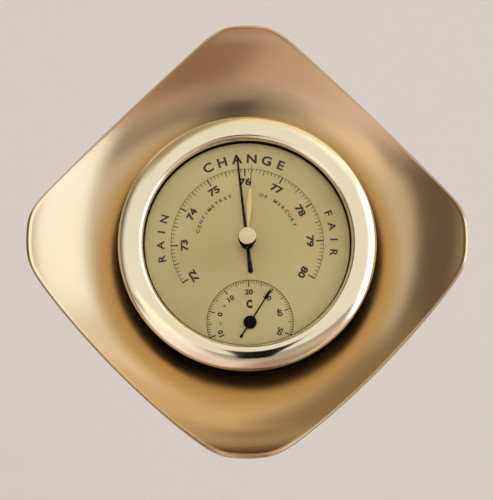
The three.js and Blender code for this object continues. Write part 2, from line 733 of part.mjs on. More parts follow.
// Pinion cut on the arbor of the indicating hand, its hairspring, collet and stud
{
  const step = 360 / PINION_TEETH;
  const centres = Array.from({ length: PINION_TEETH }, (_, i) => rad(180 + (i + 0.5) * step));
  const teeth = teethOutline(PINION_TEETH, centres, SHIFT, 1.2);
  piece(
    "pinion_arbor",
    join(
      rod(ARBOR_R, TRAIN_Z - 0.2, BUSH_CAP_Z - 0.25),
      sheet(teeth, [SECTOR_Z - 0.5, SECTOR_Z + SECTOR_T + 0.6]),
    ),
    "steel",
  );
  const collet = [TRAIN_TOP + 0.5, SECTOR_Z - 0.9];
  piece(
    "hairspring_collet",
    cut(rod(1.3, ...collet), hole(ARBOR_R + PRESS, HAND_AT)),
    "brass",
  );
  const turns = 3.25;
  const from = 40;
  const end = rad(from + 360 * turns);
  piece(
    "hairspring",
    sheet(spiral(1.9, HAIRSPRING_R, turns, 0.22, from, 16), [collet[0] + 0.3, collet[0] + 0.8]),
    "steel",
  );
  const studR = HAIRSPRING_R + 1;
  piece(
    "hairspring_stud",
    rod(0.6, TRAIN_TOP + GAP, collet[1], [studR * Math.cos(end), studR * Math.sin(end)]),
    "brass",
  );
}

// Top bridge over the sector, its pillars and screws
{
  const level = [BRIDGE_Z, BRIDGE_TOP];
  const [[pillarX, pillarY]] = BRIDGE_PILLARS;
  piece(
    "top_bridge",
    cut(
      join(
        ...[SECTOR_AT, HAND_AT].map((at) => rod(2.6, ...level, at, 16)),
        block([SECTOR_AT[0], 0], [-2, 2], level),
        block([pillarX - 2, pillarX + 2], [-pillarY, pillarY], level),
        ...BRIDGE_PILLARS.map((at) => rod(2.4, ...level, at, 16)),
      ),
      ...[SECTOR_AT, HAND_AT].map((at) => hole(ARBOR_R + RUN, at)),
      ...BRIDGE_PILLARS.map((at) => hole(SMALL_SCREW_R + 0.2, at)),
    ),
    "brass",
  );
  BRIDGE_PILLARS.forEach((at, i) => {
    piece(
      "bridge_pillar_" + (i + 1),
      cut(
        rod(1.5, TRAIN_TOP + GAP, BRIDGE_Z - GAP, at),
        rod(SMALL_SCREW_R + PRESS, BRIDGE_Z - GAP - 2.8, BRIDGE_Z, at),
      ),
      "brass",
    );
    screw("bridge_screw_" + (i + 1), at, BRIDGE_TOP + GAP, 1.6, SMALL_SCREW_R, 3.6);
  });
}

// The outline of a hand from half of it, as [distance from its centre, half width]
const pointer = (half) => [
  ...half.map(([r, w]) => [r, -w]),
  ...half.map(([r, w]) => [r, w]).reverse(),
];
const TIP_HALF = 0.08;

// Indicating hand on its bush
{
  const outline = pointer([
    ...arc(1.02, 180, 110, 3, [1.02 - HAND_TAIL, 0]).map(([r, w]) => [r, w + 0.02]),
    [-7, 0.8], [-2, 0.55], [2, 0.6], [HAND_TIP - 4, 0.25], [HAND_TIP, TIP_HALF],
  ]);
  const level = [HAND_Z, HAND_Z + HAND_T];
  const neck = 1;
  piece(
    "indicating_hand",
    cut(
      join(sheet(outline, level, HAND_TURN), rod(HAND_DISC_R, ...level, HAND_AT, 32)),
      hole(neck + PRESS, HAND_AT),
    ),
    "black",
  );
  piece(
    "hand_bush",
    cut(
      turned(
        [
          [0, BUSH_FOOT_Z], [1.35, BUSH_FOOT_Z], [1.35, HAND_Z - 0.1], [neck, HAND_Z - 0.1],
          [neck, BUSH_CAP_Z], [0, BUSH_CAP_Z],
        ],
        20,
      ),
      rod(ARBOR_R + PRESS, DIAL_Z, BUSH_CAP_Z - 0.19),
    ),
    "black",
  );
}

// Thermometer: bracket behind the dial, bimetal coil, arbor, hand and hub
{
  const at = THERMO_AT;
  const [tx, ty] = at;
  const leaf = 0.8;
  const front = DIAL_BACK - GAP;
  const rear = front - THERMO_DEPTH;
  const wide = [ty - 2.4, ty + 2.4];
  const post = COIL_R + 1.2;
  const wall = tx + post + 1;
  piece(
    "thermo_bracket",
    cut(
      join(
        block([tx - post - 1.2, wall + leaf], wide, [front - leaf, front]),
        block([wall, wall + leaf], wide, [rear, front]),
        block([tx - 2.4, wall + leaf], wide, [rear, rear + leaf]),
      ),
      hole(THERMO_ARBOR_R + RUN, at),
    ),
    "brass",
  );
  const turns = 4.25;
  piece(
    "bimetal_coil",
    sheet(
      spiral(1.4, COIL_R, turns, 0.4, 90, 16), [rear + leaf + 0.8, front - leaf - 1.5], 0, at,
    ),
    "steel",
  );
  const end = rad(90 + 360 * turns);
  piece(
    "coil_post",
    rod(0.7, rear + leaf + 0.6, front - leaf - GAP, [
      tx + post * Math.cos(end), ty + post * Math.sin(end),
    ]),
    "brass",
  );
  piece("thermo_arbor", rod(THERMO_ARBOR_R, rear + 0.1, HUB_Z + 0.9, at), "steel");
  const level = [THERMO_HAND_Z, THERMO_HAND_Z + HAND_T];
  const arm = 0.28; // half widths of its bar and its broad ends
  const spade = 0.55;
  const outline = pointer([
    [-THERMO_TAIL, arm], [-0.96 * THERMO_TAIL, spade], [-0.84 * THERMO_TAIL, spade],
    [-0.8 * THERMO_TAIL, arm], [0, arm], [0.69 * THERMO_TIP, arm], [0.75 * THERMO_TIP, spade],
    [0.87 * THERMO_TIP, spade], [THERMO_TIP, TIP_HALF],
  ]);
  piece(
    "thermo_hand",
    cut(
      join(sheet(outline, level, THERMO_TURN, at), rod(1.5, ...level, at, 16)),
      hole(THERMO_ARBOR_R + PRESS, at),
    ),
    "black",
  );
  piece(
    "thermo_hub",
    cut(
      turned(
        [
          [0, HUB_Z], [HUB_R, HUB_Z], [HUB_R, HUB_Z + 0.6], [HUB_R - 0.3, HUB_Z + 1],
          [0, HUB_Z + 1.2],
        ],
        32,
        at,
      ),
      rod(THERMO_ARBOR_R + PRESS, DIAL_Z, HUB_Z + 0.95, at),
    ),
    "black",
  );
}

// Set hand: knob, stem, bush in the glass with its nut, spring washer, and the gilt hand
{
  const bevel = 0.35;
  const knobTop = KNOB_Z + KNOB_H;
  const grip = 3;
  piece(
    "set_knob",
    cut(
      turned(
        [
          [0, KNOB_Z], [KNOB_R - 0.2, KNOB_Z], [KNOB_R, KNOB_Z + 0.2], [KNOB_R, knobTop - bevel],
          [KNOB_R - bevel, knobTop], [0, knobTop],
        ],
        40,
      ),
      rod(STEM_R + PRESS, KNOB_Z - 1, KNOB_Z + grip + 0.1),
    ),
    "gilt",
  );
}
piece(
  "set_stem",
  join(
    rod(STEM_R, SET_Z - 0.2, KNOB_Z + 3),
    rod(1.5, WASHER_Z - 0.1 - COLLAR_T, WASHER_Z - 0.1),
  ),
  "gilt",
);
piece(
  "glass_bush",
  cut(
    join(
      rod(BUSH_R, GLASS_BUSH_Z, GLASS_BUSH_HEAD_Z + 0.2, HAND_AT, 16),
      rod(3, GLASS_BUSH_HEAD_Z, GLASS_BUSH_HEAD_Z + GLASS_BUSH_HEAD_T, HAND_AT, 28),
    ),
    hole(STEM_R + RUN, HAND_AT),
  ),
  "gilt",
);
piece(
  "bush_nut",
  cut(rod(3.1, NUT_TOP - NUT_T, NUT_TOP, HAND_AT, 6), hole(BUSH_R + PRESS, HAND_AT, 16)),
  "gilt",
);
piece(
  "spring_washer",
  cut(
    turned(
      [
        [0, WASHER_Z], [1.7, WASHER_Z], [2.1, WASHER_Z + 0.3], [2.1, WASHER_Z + WASHER_T],
        [1.6, WASHER_Z + 0.35], [0, WASHER_Z + 0.35],
      ],
      24,
    ),
    hole(STEM_R + RUN, HAND_AT),
  ),
  "steel",
);
{
  const eye = 1.5; // half width round the stem
  const leaf = 1.02; // half width at its broadest
  const outline = pointer([
    [-eye, 0.27 * eye], [-0.73 * eye, 0.87 * eye], [0.6 * eye, eye], [1.13 * eye, 0.53 * eye],
    [1.6 * eye, 0.3 * leaf], [0.23 * SET_TIP, 0.3 * leaf], [0.33 * SET_TIP, 0.7 * leaf],
    [0.48 * SET_TIP, leaf], [0.595 * SET_TIP, 0.7 * leaf], [0.715 * SET_TIP, 0.24 * leaf],
    [SET_TIP, TIP_HALF],
  ]);
  piece(
    "set_hand",
    cut(sheet(outline, [SET_Z, SET_Z + SET_T], SET_TURN), hole(STEM_R + PRESS, HAND_AT)),
    "gilt",
  );
}

// Adjusting screw, reached through the back of the case
{
  const headBack = 0.35;
  const headTop = CASE_BACK + 0.1;
  piece(
    "adjusting_screw",
    cut(
      join(
        rod(ADJUST_HEAD_R, headBack, headTop, CAPSULE_AT, 28),
        rod(POST_R, headTop - 0.2, BASE_TOP, CAPSULE_AT, 20),
      ),
      block([-3, 3], [-0.4, 0.4], [headBack - 1, headBack + 0.5]).translate(...CAPSULE_AT, 0),
    ),
    "steel",
  );
}

export default root;
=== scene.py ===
import math

import bmesh
import bpy
from mathutils import Matrix, Vector


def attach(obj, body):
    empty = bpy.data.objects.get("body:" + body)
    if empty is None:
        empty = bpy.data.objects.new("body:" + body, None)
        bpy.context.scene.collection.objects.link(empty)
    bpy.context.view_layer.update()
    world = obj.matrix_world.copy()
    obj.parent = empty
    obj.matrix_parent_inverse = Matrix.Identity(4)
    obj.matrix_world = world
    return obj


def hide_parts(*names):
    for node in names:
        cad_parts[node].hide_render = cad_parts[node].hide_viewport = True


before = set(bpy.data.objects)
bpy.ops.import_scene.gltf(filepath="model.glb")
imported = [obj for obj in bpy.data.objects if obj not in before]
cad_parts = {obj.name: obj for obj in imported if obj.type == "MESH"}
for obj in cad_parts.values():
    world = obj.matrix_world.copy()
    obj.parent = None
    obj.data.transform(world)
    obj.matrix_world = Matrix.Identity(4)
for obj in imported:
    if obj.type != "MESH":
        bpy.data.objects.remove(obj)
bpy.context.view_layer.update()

# The stage. A pale matt floor that turns up into a backdrop, and a camera a little below the
# barometer, 0.8 m away.
scene = bpy.context.scene
scene.view_settings.view_transform = "Standard"


def add_node(tree, kind, inputs=None, **settings):
    """Adds a node. inputs maps a socket's name or number to a value or to another socket."""
    made = tree.nodes.new(kind)
    for key, value in settings.items():
        setattr(made, key, value)
    for key, value in (inputs or {}).items():
        if isinstance(value, bpy.types.NodeSocket):
            tree.links.new(value, made.inputs[key])
        else:
            made.inputs[key].default_value = value
    return made


def new_material(name):
    """An empty material, and its node tree."""
    made = bpy.data.materials.new(name)
    made.use_nodes = True
    made.node_tree.nodes.clear()
    return made, made.node_tree


def show(tree, shader):
    """Makes a shader what a material shows."""
    add_node(tree, "ShaderNodeOutputMaterial", {"Surface": shader.outputs[0]})


def blend(tree, share, first, second):
    """The colour that lies between two, by a share of the second."""
    return add_node(
        tree, "ShaderNodeMix", {0: share, 6: first, 7: second}, data_type="RGBA"
    ).outputs[2]


def add_object(name, mesh, material):
    """Puts a finished mesh in the scene as a piece, with one material."""
    made = bpy.data.objects.new(name, mesh)
    scene.collection.objects.link(made)
    mesh.materials.clear()
    mesh.materials.append(material)
    return made


studio_paper, paper = new_material("studio_paper")
paper_cloud = add_node(paper, "ShaderNodeTexNoise", {"Scale": 1.6, "Detail": 1.0})
paper_tone = blend(
    paper, paper_cloud.outputs[0], (0.71, 0.655, 0.625, 1), (0.78, 0.735, 0.71, 1)
)
paper_path = add_node(paper, "ShaderNodeLightPath")
paper_glow = add_node(
    paper, "ShaderNodeMath",
    {0: paper_path.outputs["Is Camera Ray"], 1: paper_path.outputs["Is Transmission Ray"]},
    operation="MAXIMUM",
)
paper_lift = add_node(
    paper, "ShaderNodeMapRange", {"Value": paper_glow.outputs[0], "To Min": 0.0, "To Max": 0.27}
)
show(paper, add_node(
    paper, "ShaderNodeBsdfPrincipled",
    {"Base Color": paper_tone, "Roughness": 0.9, "Specular IOR Level": 0.1,
     "Emission Color": paper_tone, "Emission Strength": paper_lift.outputs[0]},
))

FLOOR_HALF, BEND_Y, BEND_R, BACKDROP_TOP = 3.2, 1.0, 0.6, 2.4
sweep = bmesh.new()
bend = [math.radians(a) for a in range(0, 91, 6)]
sweep_line = (
    [(-FLOOR_HALF, -BEND_R)]
    + [(BEND_Y + BEND_R * math.sin(a), -BEND_R * math.cos(a)) for a in bend]
    + [(BEND_Y + BEND_R, BACKDROP_TOP)]
)
for y, z in sweep_line:
    sweep.verts.new((-FLOOR_HALF, y, z))
    sweep.verts.new((FLOOR_HALF, y, z))
sweep.verts.ensure_lookup_table()
for i in range(0, len(sweep.verts) - 2, 2):
    sweep.faces.new([sweep.verts[k] for k in (i, i + 1, i + 3, i + 2)])
for face in sweep.faces:
    face.smooth = True
sweep_mesh = bpy.data.meshes.new("floor_and_backdrop")
sweep.to_mesh(sweep_mesh)
sweep.free()
add_object("floor_and_backdrop", sweep_mesh, studio_paper)


def from_object(azimuth, elevation, distance):
    """A point seen from the barometer, the azimuth in degrees to the right of straight ahead."""
    a, e = math.radians(azimuth), math.radians(elevation)
    return distance * Vector((math.cos(e) * math.sin(a), -math.cos(e) * math.cos(a), math.sin(e)))


CAMERA_RISE, CAMERA_REACH = -11.3, 0.8
dial_middle = Vector((0, -0.024, 0))
camera_data = bpy.data.cameras.new("camera")
camera_data.lens = 143.9
camera_data.clip_start = 0.01
camera = bpy.data.objects.new("camera", camera_data)
scene.collection.objects.link(camera)
camera.location = dial_middle + from_object(0, CAMERA_RISE, CAMERA_REACH)
camera_aim = dial_middle + Vector((-0.0003, 0, -0.0027))
camera.rotation_euler = (camera_aim - camera.location).to_track_quat("-Z", "Y").to_euler()
scene.camera = camera

# The light. The air is pale, a cool lamp stands at the right and a warm one above; bright, brown
# and dark cards, seen only in polished metal, give it its tones.
world = bpy.data.worlds.new("stage_air")
world.use_nodes = True
world.node_tree.nodes.clear()
scene.world = world
air = world.node_tree
air_path = add_node(air, "ShaderNodeLightPath")
air_seen = add_node(
    air, "ShaderNodeMath",
    {0: air_path.outputs["Is Camera Ray"], 1: air_path.outputs["Is Glossy Ray"]},
    operation="MAXIMUM",
)
air_shown = add_node(
    air, "ShaderNodeMath",
    {0: air_seen.outputs[0], 1: air_path.outputs["Is Transmission Ray"]},
    operation="MAXIMUM",
)
air_level = add_node(
    air, "ShaderNodeMapRange", {"Value": air_shown.outputs[0], "To Min": 0.55, "To Max": 0.86}
)
air_light = add_node(
    air, "ShaderNodeBackground",
    {"Color": (1, 0.97, 0.87, 1), "Strength": air_level.outputs[0]},
)
add_node(air, "ShaderNodeOutputWorld", {"Surface": air_light.outputs[0]})


def soft_lamp(name, azimuth, elevation, distance, width, height, colour, level):
    """A rectangular lamp facing the barometer, of a brightness called level, not mirrored."""
    data = bpy.data.lights.new(name, "AREA")
    data.shape = "RECTANGLE"
    data.size, data.size_y = width, height
    data.color = colour
    data.energy = level * math.pi * width * height
    lamp = bpy.data.objects.new(name, data)
    scene.collection.objects.link(lamp)
    lamp.location = from_object(azimuth, elevation, distance)
    lamp.rotation_euler = (-lamp.location).to_track_quat("-Z", "Y").to_euler()
    lamp.visible_glossy = False


soft_lamp("window_right", 76, 8, 1.3, 1.3, 1.6, (0.87, 0.96, 1.0), 1.22)
soft_lamp("lamp_above", 24, 70, 1.3, 1.2, 0.9, (1.0, 0.95, 0.88), 0.72)


def card(name, azimuth, elevation, distance, width, height, colour, soft):
    """A sheet of card facing the barometer, seen only by reflections, that fades at its edges."""
    middle = from_object(azimuth, elevation, distance)
    turn = (-middle).to_track_quat("Z", "Y").to_matrix().to_4x4()
    sheet = bmesh.new()
    sheet.loops.layers.uv.new("sheet")
    bmesh.ops.create_grid(sheet, x_segments=1, y_segments=1, size=0.5, calc_uvs=True)
    bmesh.ops.transform(
        sheet, verts=sheet.verts,
        matrix=Matrix.Translation(middle) @ turn @ Matrix.Diagonal((width, height, 1, 1)),
    )
    mesh = bpy.data.meshes.new(name)
    sheet.to_mesh(mesh)
    sheet.free()
    material, tree = new_material(name)
    at = add_node(tree, "ShaderNodeTexCoord")
    off_middle = add_node(
        tree, "ShaderNodeVectorMath", {0: at.outputs["UV"], 1: (0.5, 0.5, 0.0)},
        operation="SUBTRACT",
    )
    apart = add_node(
        tree, "ShaderNodeVectorMath", {0: off_middle.outputs[0]}, operation="ABSOLUTE"
    )
    across = add_node(tree, "ShaderNodeSeparateXYZ", {0: apart.outputs[0]})
    kept = [
        add_node(
            tree, "ShaderNodeMapRange",
            {"Value": across.outputs[axis], "From Min": 0.5, "From Max": 0.5 - soft},
            interpolation_type="SMOOTHSTEP",
        ).outputs[0]
        for axis in (0, 1)
    ]
    mask = add_node(tree, "ShaderNodeMath", {0: kept[0], 1: kept[1]}, operation="MULTIPLY")
    glow = add_node(tree, "ShaderNodeEmission", {"Color": (*colour, 1), "Strength": 1.0})
    gone = add_node(tree, "ShaderNodeBsdfTransparent")
    show(tree, add_node(
        tree, "ShaderNodeMixShader", {0: mask.outputs[0], 1: gone.outputs[0], 2: glow.outputs[0]}
    ))
    made = add_object(name, mesh, material)
    made.visible_camera = made.visible_diffuse = made.visible_shadow = False
    made.visible_transmission = made.visible_volume_scatter = False


card("card_window", 75, 4, 1.0, 1.78, 1.4, (1.55, 1.85, 2.1), 0.2)
card("card_left", -85, 9, 0.9, 1.82, 1.75, (0.20, 0.17, 0.14), 0.22)
card("card_up_left", -45, 54, 0.68, 0.58, 0.74, (0.37, 0.30, 0.18), 0.28)
card("card_up_right", 56, 52, 1.05, 1.2, 0.95, (1.3, 1.25, 1.15), 0.3)
card("card_low_left", -37, -33, 0.6, 0.72, 0.54, (1.02, 0.92, 0.92), 0.25)
card("card_low_right", 38, -38, 0.6, 0.56, 0.50, (0.80, 0.61, 0.49), 0.25)
card("card_above", 0, 82, 0.8, 1.6, 1.15, (0.98, 0.79, 0.50), 0.18)
card("card_below", 0, -56, 0.46, 0.52, 0.6, (0.84, 0.67, 0.59), 0.2)
card("card_below_right", 20, -50, 0.4, 0.32, 0.5, (0.40, 0.275, 0.20), 0.3)
card("card_wall_left", -24, -11, 1.5, 0.85, 0.55, (1.25, 1.15, 0.95), 0.3)
card("card_low_front", 2, -8.8, 1.3, 0.22, 0.50, (0.006, 0.005, 0.004), 0.1)

# The case. A cup drawn from sheet brass and gilt, whose flange sits on the surround and carries
# the rim. Its back has the keyhole that it hangs by and holes for the adjusting screw and the
# base plate's screws.


def place(x, y, z):
    """A point in millimetres, right, up and out of the wall, as one of the scene."""
    return Vector((x, -z, y)) / 1000


def rounded(points, radius, steps=3, closed=True):
    """A profile whose corners are rounded by up to a radius."""
    out = []
    for i, point in enumerate(points):
        if not closed and i in (0, len(points) - 1):
            out.append(tuple(point))
            continue
        here = Vector(point)
        before, after = Vector(points[i - 1]) - here, Vector(points[(i + 1) % len(points)]) - here
        cut = min(radius, 0.45 * before.length, 0.45 * after.length)
        first, last = here + cut * before.normalized(), here + cut * after.normalized()
        for k in range(steps + 1):
            t = k / steps
            out.append(tuple((1 - t) ** 2 * first + 2 * t * (1 - t) * here + t * t * last))
    return out


def finish_mesh(shape, name, sharp=35):
    """Merges doubles, turns the faces outwards and shades smooth but for sharp edges."""
    bmesh.ops.remove_doubles(shape, verts=shape.verts, dist=1e-7)
    bmesh.ops.recalc_face_normals(shape, faces=shape.faces)
    mesh = bpy.data.meshes.new(name)
    shape.to_mesh(mesh)
    shape.free()
    for face in mesh.polygons:
        face.use_smooth = True
    mesh.set_sharp_from_angle(angle=math.radians(sharp))
    return mesh


def lathe(name, profile, segments=128, centre=(0, 0)):
    """A closed profile of (radius, height) in millimetres, turned about an axis out of the wall."""
    shape = bmesh.new()
    rings = []
    for radius, height in profile:
        around = [2 * math.pi * i / segments for i in range(segments if radius > 0 else 1)]
        rings.append([
            shape.verts.new(place(
                centre[0] + radius * math.cos(a), centre[1] + radius * math.sin(a), height
            ))
            for a in around
        ])
    for low, high in zip(rings, rings[1:] + rings[:1]):
        if len(low) == len(high) == 1:
            continue
        for i in range(segments):
            corners = [
                low[i % len(low)], low[(i + 1) % len(low)],
                high[(i + 1) % len(high)], high[i % len(high)],
            ]
            shape.faces.new(list(dict.fromkeys(corners)))
    return finish_mesh(shape, name)


def apply_modifiers(piece):
    """Replaces a piece's mesh by what its modifiers make of it."""
    depsgraph = bpy.context.evaluated_depsgraph_get()
    mesh = bpy.data.meshes.new_from_object(piece.evaluated_get(depsgraph))
    piece.modifiers.clear()
    piece.data = mesh


def drill(piece, *tools):
    """Cuts the given meshes out of a piece."""
    for tool in tools:
        cutter = bpy.data.objects.new("cutter", tool)
        scene.collection.objects.link(cutter)
        modifier = piece.modifiers.new("cut", "BOOLEAN")
        modifier.object = cutter
        modifier.solver = "EXACT"
        apply_modifiers(piece)
        bpy.data.objects.remove(cutter)
    piece.data.set_sharp_from_angle(angle=math.radians(35))


def new_group(name, inputs, outputs):
    """A shader node group with named inputs and outputs, and its input and output nodes."""
    group = bpy.data.node_groups.new(name, "ShaderNodeTree")
    for label, kind, value in inputs:
        socket = group.interface.new_socket(label, in_out="INPUT", socket_type=kind)
        socket.default_value = value
    for label, kind in outputs:
        group.interface.new_socket(label, in_out="OUTPUT", socket_type=kind)
    return group, group.nodes.new("NodeGroupInput"), group.nodes.new("NodeGroupOutput")


def use_group(tree, group, **inputs):
    """Places a shader node group in a material, with its own values."""
    return add_node(tree, "ShaderNodeGroup", inputs, node_tree=group)


# Tarnish: a cloud that turns a fresh tone into an aged one, by an amount.
tarnish, tarnish_in, tarnish_out = new_group(
    "tarnish",
    [
        ("Fresh", "NodeSocketColor", (1, 1, 1, 1)), ("Aged", "NodeSocketColor", (1, 1, 1, 1)),
        ("Size", "NodeSocketFloat", 30.0), ("Amount", "NodeSocketFloat", 0.5),
    ],
    [("Color", "NodeSocketColor")],
)
tarnish_at = add_node(tarnish, "ShaderNodeTexCoord")
tarnish_cloud = add_node(
    tarnish, "ShaderNodeTexNoise",
    {"Vector": tarnish_at.outputs["Object"], "Scale": tarnish_in.outputs["Size"], "Detail": 5.0},
)
tarnish_mask = add_node(
    tarnish, "ShaderNodeMapRange",
    {"Value": tarnish_cloud.outputs[0], "From Min": 0.35, "From Max": 0.7,
     "To Max": tarnish_in.outputs["Amount"]},
)
tarnish_mix = blend(
    tarnish, tarnish_mask.outputs[0], tarnish_in.outputs["Fresh"], tarnish_in.outputs["Aged"]
)
tarnish.links.new(tarnish_mix, tarnish_out.inputs["Color"])

# Satin: the fine tooth that brushing or blasting leaves, stretched along one direction.
satin, satin_in, satin_out = new_group(
    "satin",
    [
        ("Stretch", "NodeSocketVector", (1.0, 1.0, 1.0)), ("Tooth", "NodeSocketFloat", 4000.0),
        ("Low", "NodeSocketFloat", 0.3), ("High", "NodeSocketFloat", 0.4),
    ],
    [("Roughness", "NodeSocketFloat"), ("Height", "NodeSocketFloat")],
)
satin_at = add_node(satin, "ShaderNodeTexCoord")
satin_along = add_node(
    satin, "ShaderNodeVectorMath",
    {0: satin_at.outputs["Object"], 1: satin_in.outputs["Stretch"]}, operation="MULTIPLY",
)
satin_tooth = add_node(
    satin, "ShaderNodeTexNoise",
    {"Vector": satin_along.outputs[0], "Scale": satin_in.outputs["Tooth"], "Detail": 2.0},
)
satin_cloud = add_node(
    satin, "ShaderNodeTexNoise",
    {"Vector": satin_at.outputs["Object"], "Scale": 45.0, "Detail": 3.0},
)
satin_rough = add_node(
    satin, "ShaderNodeMapRange",
    {"Value": satin_cloud.outputs[0], "From Min": 0.3, "From Max": 0.7,
     "To Min": satin_in.outputs["Low"], "To Max": satin_in.outputs["High"]},
)
satin.links.new(satin_rough.outputs[0], satin_out.inputs["Roughness"])
satin.links.new(satin_tooth.outputs[0], satin_out.inputs["Height"])


def finish(name, fresh, aged, low, high, size=30.0, amount=0.6, tooth=4000.0,
           stretch=(1, 1, 1), depth=0.05, metallic=1.0, specular=0.5, shade=None):
    """A metal, lacquer or ink from tarnish and satin, bumped by a depth in micrometres.

    shade, where there is one, makes the colour to use from the tree and the tarnished colour.
    """
    material, tree = new_material(name)
    tone = use_group(tree, tarnish, Fresh=(*fresh, 1), Aged=(*aged, 1), Size=size, Amount=amount)
    grain = use_group(tree, satin, Stretch=stretch, Tooth=tooth, Low=low, High=high)
    colour = tone.outputs["Color"]
    body = add_node(
        tree, "ShaderNodeBsdfPrincipled",
        {"Base Color": shade(tree, colour) if shade else colour,
         "Roughness": grain.outputs["Roughness"], "Metallic": metallic,
         "Specular IOR Level": specular},
    )
    if depth:
        bump = add_node(
            tree, "ShaderNodeBump",
            {"Strength": 1.0, "Distance": depth * 1e-6, "Height": grain.outputs["Height"]},
        )
        tree.links.new(bump.outputs[0], body.inputs["Normal"])
    show(tree, body)
    return material


gilt = finish("gilt", (0.86, 0.64, 0.31), (0.62, 0.40, 0.17), 0.13, 0.24, size=60, amount=0.5)

CASE_R, SEAT_R, SEAT_Z, FLANGE_R, FLANGE_Z = 42.3, 44.6, 15.5, 50.1, 17.6
CASE_WALL, CASE_FLOOR = 1.0, 1.2
case_profile = rounded(
    [
        (0.0, 0), (CASE_R, 0), (CASE_R, SEAT_Z + 0.3), (SEAT_R + 1, SEAT_Z + 0.3),
        (SEAT_R + 2.2, SEAT_Z + 0.8), (FLANGE_R, SEAT_Z + 0.8), (FLANGE_R, FLANGE_Z),
        (CASE_R - CASE_WALL, FLANGE_Z), (CASE_R - CASE_WALL, CASE_FLOOR), (0.0, CASE_FLOOR),
    ],
    0.35, closed=False,
)
case_shell = add_object("case_shell", lathe("case_shell", case_profile, 192), gilt)
KEYHOLE_R, KEYHOLE_Y, SLOT_R, SLOT_RISE = 4.3, 31, 2.4, 6
slot_at = Matrix.Translation(place(0, KEYHOLE_Y + SLOT_RISE / 2, 0.5))
slot_size = Matrix.Diagonal((2 * SLOT_R / 1000, 0.004, SLOT_RISE / 1000, 1))
keyhole_slot = bmesh.new()
bmesh.ops.create_cube(keyhole_slot, size=1)
bmesh.ops.transform(keyhole_slot, verts=keyhole_slot.verts, matrix=slot_at @ slot_size)


def plug(radius, x, y, low=-2.0, high=4.0, segments=48):
    """A round plug to drill a hole with."""
    return lathe("plug", [(0, low), (radius, low), (radius, high), (0, high)], segments, (x, y))


ADJUSTER_R, CAPSULE_Y = 3, -4
BASE_SCREW_R, BASE_SCREW_AT = 0.88, 26.6
base_screws = [
    (BASE_SCREW_AT * math.cos(math.radians(a)), BASE_SCREW_AT * math.sin(math.radians(a)))
    for a in (236, 304)
] + [(0, 21.5)]
drill(
    case_shell, plug(KEYHOLE_R, 0, KEYHOLE_Y), finish_mesh(keyhole_slot, "slot"),
    plug(SLOT_R, 0, KEYHOLE_Y + SLOT_RISE), plug(ADJUSTER_R, 0, CAPSULE_Y),
    *[plug(BASE_SCREW_R, x, y, segments=24) for x, y in base_screws],
)
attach(case_shell, "case")
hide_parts("case_cup")

# The surround. A diamond of sheet brass with cut corners, dished by spinning and plated in satin
# gold, its cut edge softened. The case passes through its middle and its flange sits on it.
# The face's deeper gold beside the rim is painted shade and reflection, in a band round a point 5.5
# mm below the axis.
SHADE_LOWER, SHADE_FULL, SHADE_END = 0.0055, 0.0565, 0.0645


def from_axis(tree, lower=0.0):
    """The distance in metres from the barometer's axis, or from a line that lies lower."""
    at = add_node(tree, "ShaderNodeTexCoord").outputs["Object"]
    flat = add_node(
        tree, "ShaderNodeVectorMath", {0: at, 1: (1, 0, 1), 2: (0, 0, lower)},
        operation="MULTIPLY_ADD",
    )
    out = add_node(tree, "ShaderNodeVectorMath", {0: flat.outputs[0]}, operation="LENGTH")
    return out.outputs["Value"]


def deeper_by_rim(tree, tone):
    """Painted shade and reflection: a deeper gold beside the rim, wider below it, on the face of
    the sheet only.
    """
    near = add_node(
        tree, "ShaderNodeMapRange",
        {"Value": from_axis(tree, SHADE_LOWER), "From Min": SHADE_END, "From Max": SHADE_FULL},
        interpolation_type="SMOOTHSTEP",
    )
    facing = add_node(
        tree, "ShaderNodeSeparateXYZ",
        {0: add_node(tree, "ShaderNodeTexCoord").outputs["Normal"]},
    )
    on_face = add_node(
        tree, "ShaderNodeMapRange",
        {"Value": facing.outputs[1], "From Min": 0.0, "From Max": -0.1},
    )
    both = add_node(
        tree, "ShaderNodeMath", {0: near.outputs[0], 1: on_face.outputs[0]}, operation="MULTIPLY"
    )
    return blend(tree, both.outputs[0], tone, (0.56, 0.31, 0.105, 1))


brass_satin = finish(
    "surround_satin_gilt", (0.64, 0.47, 0.30), (0.59, 0.41, 0.235), 0.17, 0.22, size=14,
    amount=0.8, tooth=5200, stretch=(1, 1, 0.12), depth=0.25, shade=deeper_by_rim,
)


def new_growth(name, inputs):
    """A geometry node tree, its inputs' sockets and defaults, and what its input node gives."""
    tree = bpy.data.node_groups.new(name, "GeometryNodeTree")
    known = {}
    for label, kind, value in (*inputs, ("Material", "NodeSocketMaterial", None)):
        socket = tree.interface.new_socket(label, in_out="INPUT", socket_type=kind)
        if value is not None:
            socket.default_value = value
        known[label] = (socket.identifier, value)
    tree.interface.new_socket("Geometry", in_out="OUTPUT", socket_type="NodeSocketGeometry")
    return tree, known, tree.nodes.new("NodeGroupInput").outputs


def end_growth(tree, shape, material):
    """Ends a geometry node tree with a plain mesh of one material."""
    real = add_node(tree, "GeometryNodeRealizeInstances", {0: shape})
    coated = add_node(
        tree, "GeometryNodeSetMaterial", {"Geometry": real.outputs[0], "Material": material}
    )
    add_node(tree, "NodeGroupOutput", {0: coated.outputs[0]})


surround_nodes, surround_inputs, dish_in = new_growth("dished_surround", (
    ("Hole Radius", "NodeSocketFloat", 42.7), ("Seat Radius", "NodeSocketFloat", SEAT_R),
    ("Seat Height", "NodeSocketFloat", SEAT_Z), ("Dish Radius", "NodeSocketFloat", 51.22),
    ("Side At", "NodeSocketFloat", 72.4), ("Side Bow", "NodeSocketFloat", 360.0),
    ("Corner At", "NodeSocketFloat", 86.3), ("Corner Bow", "NodeSocketFloat", 2400.0),
    ("Shoulder Softness", "NodeSocketFloat", 40.0),
))


def maths(operation, a, b=0.0, tree=surround_nodes):
    """One step of arithmetic in a geometry node tree."""
    return add_node(tree, "ShaderNodeMath", {0: a, 1: b}, operation=operation).outputs[0]


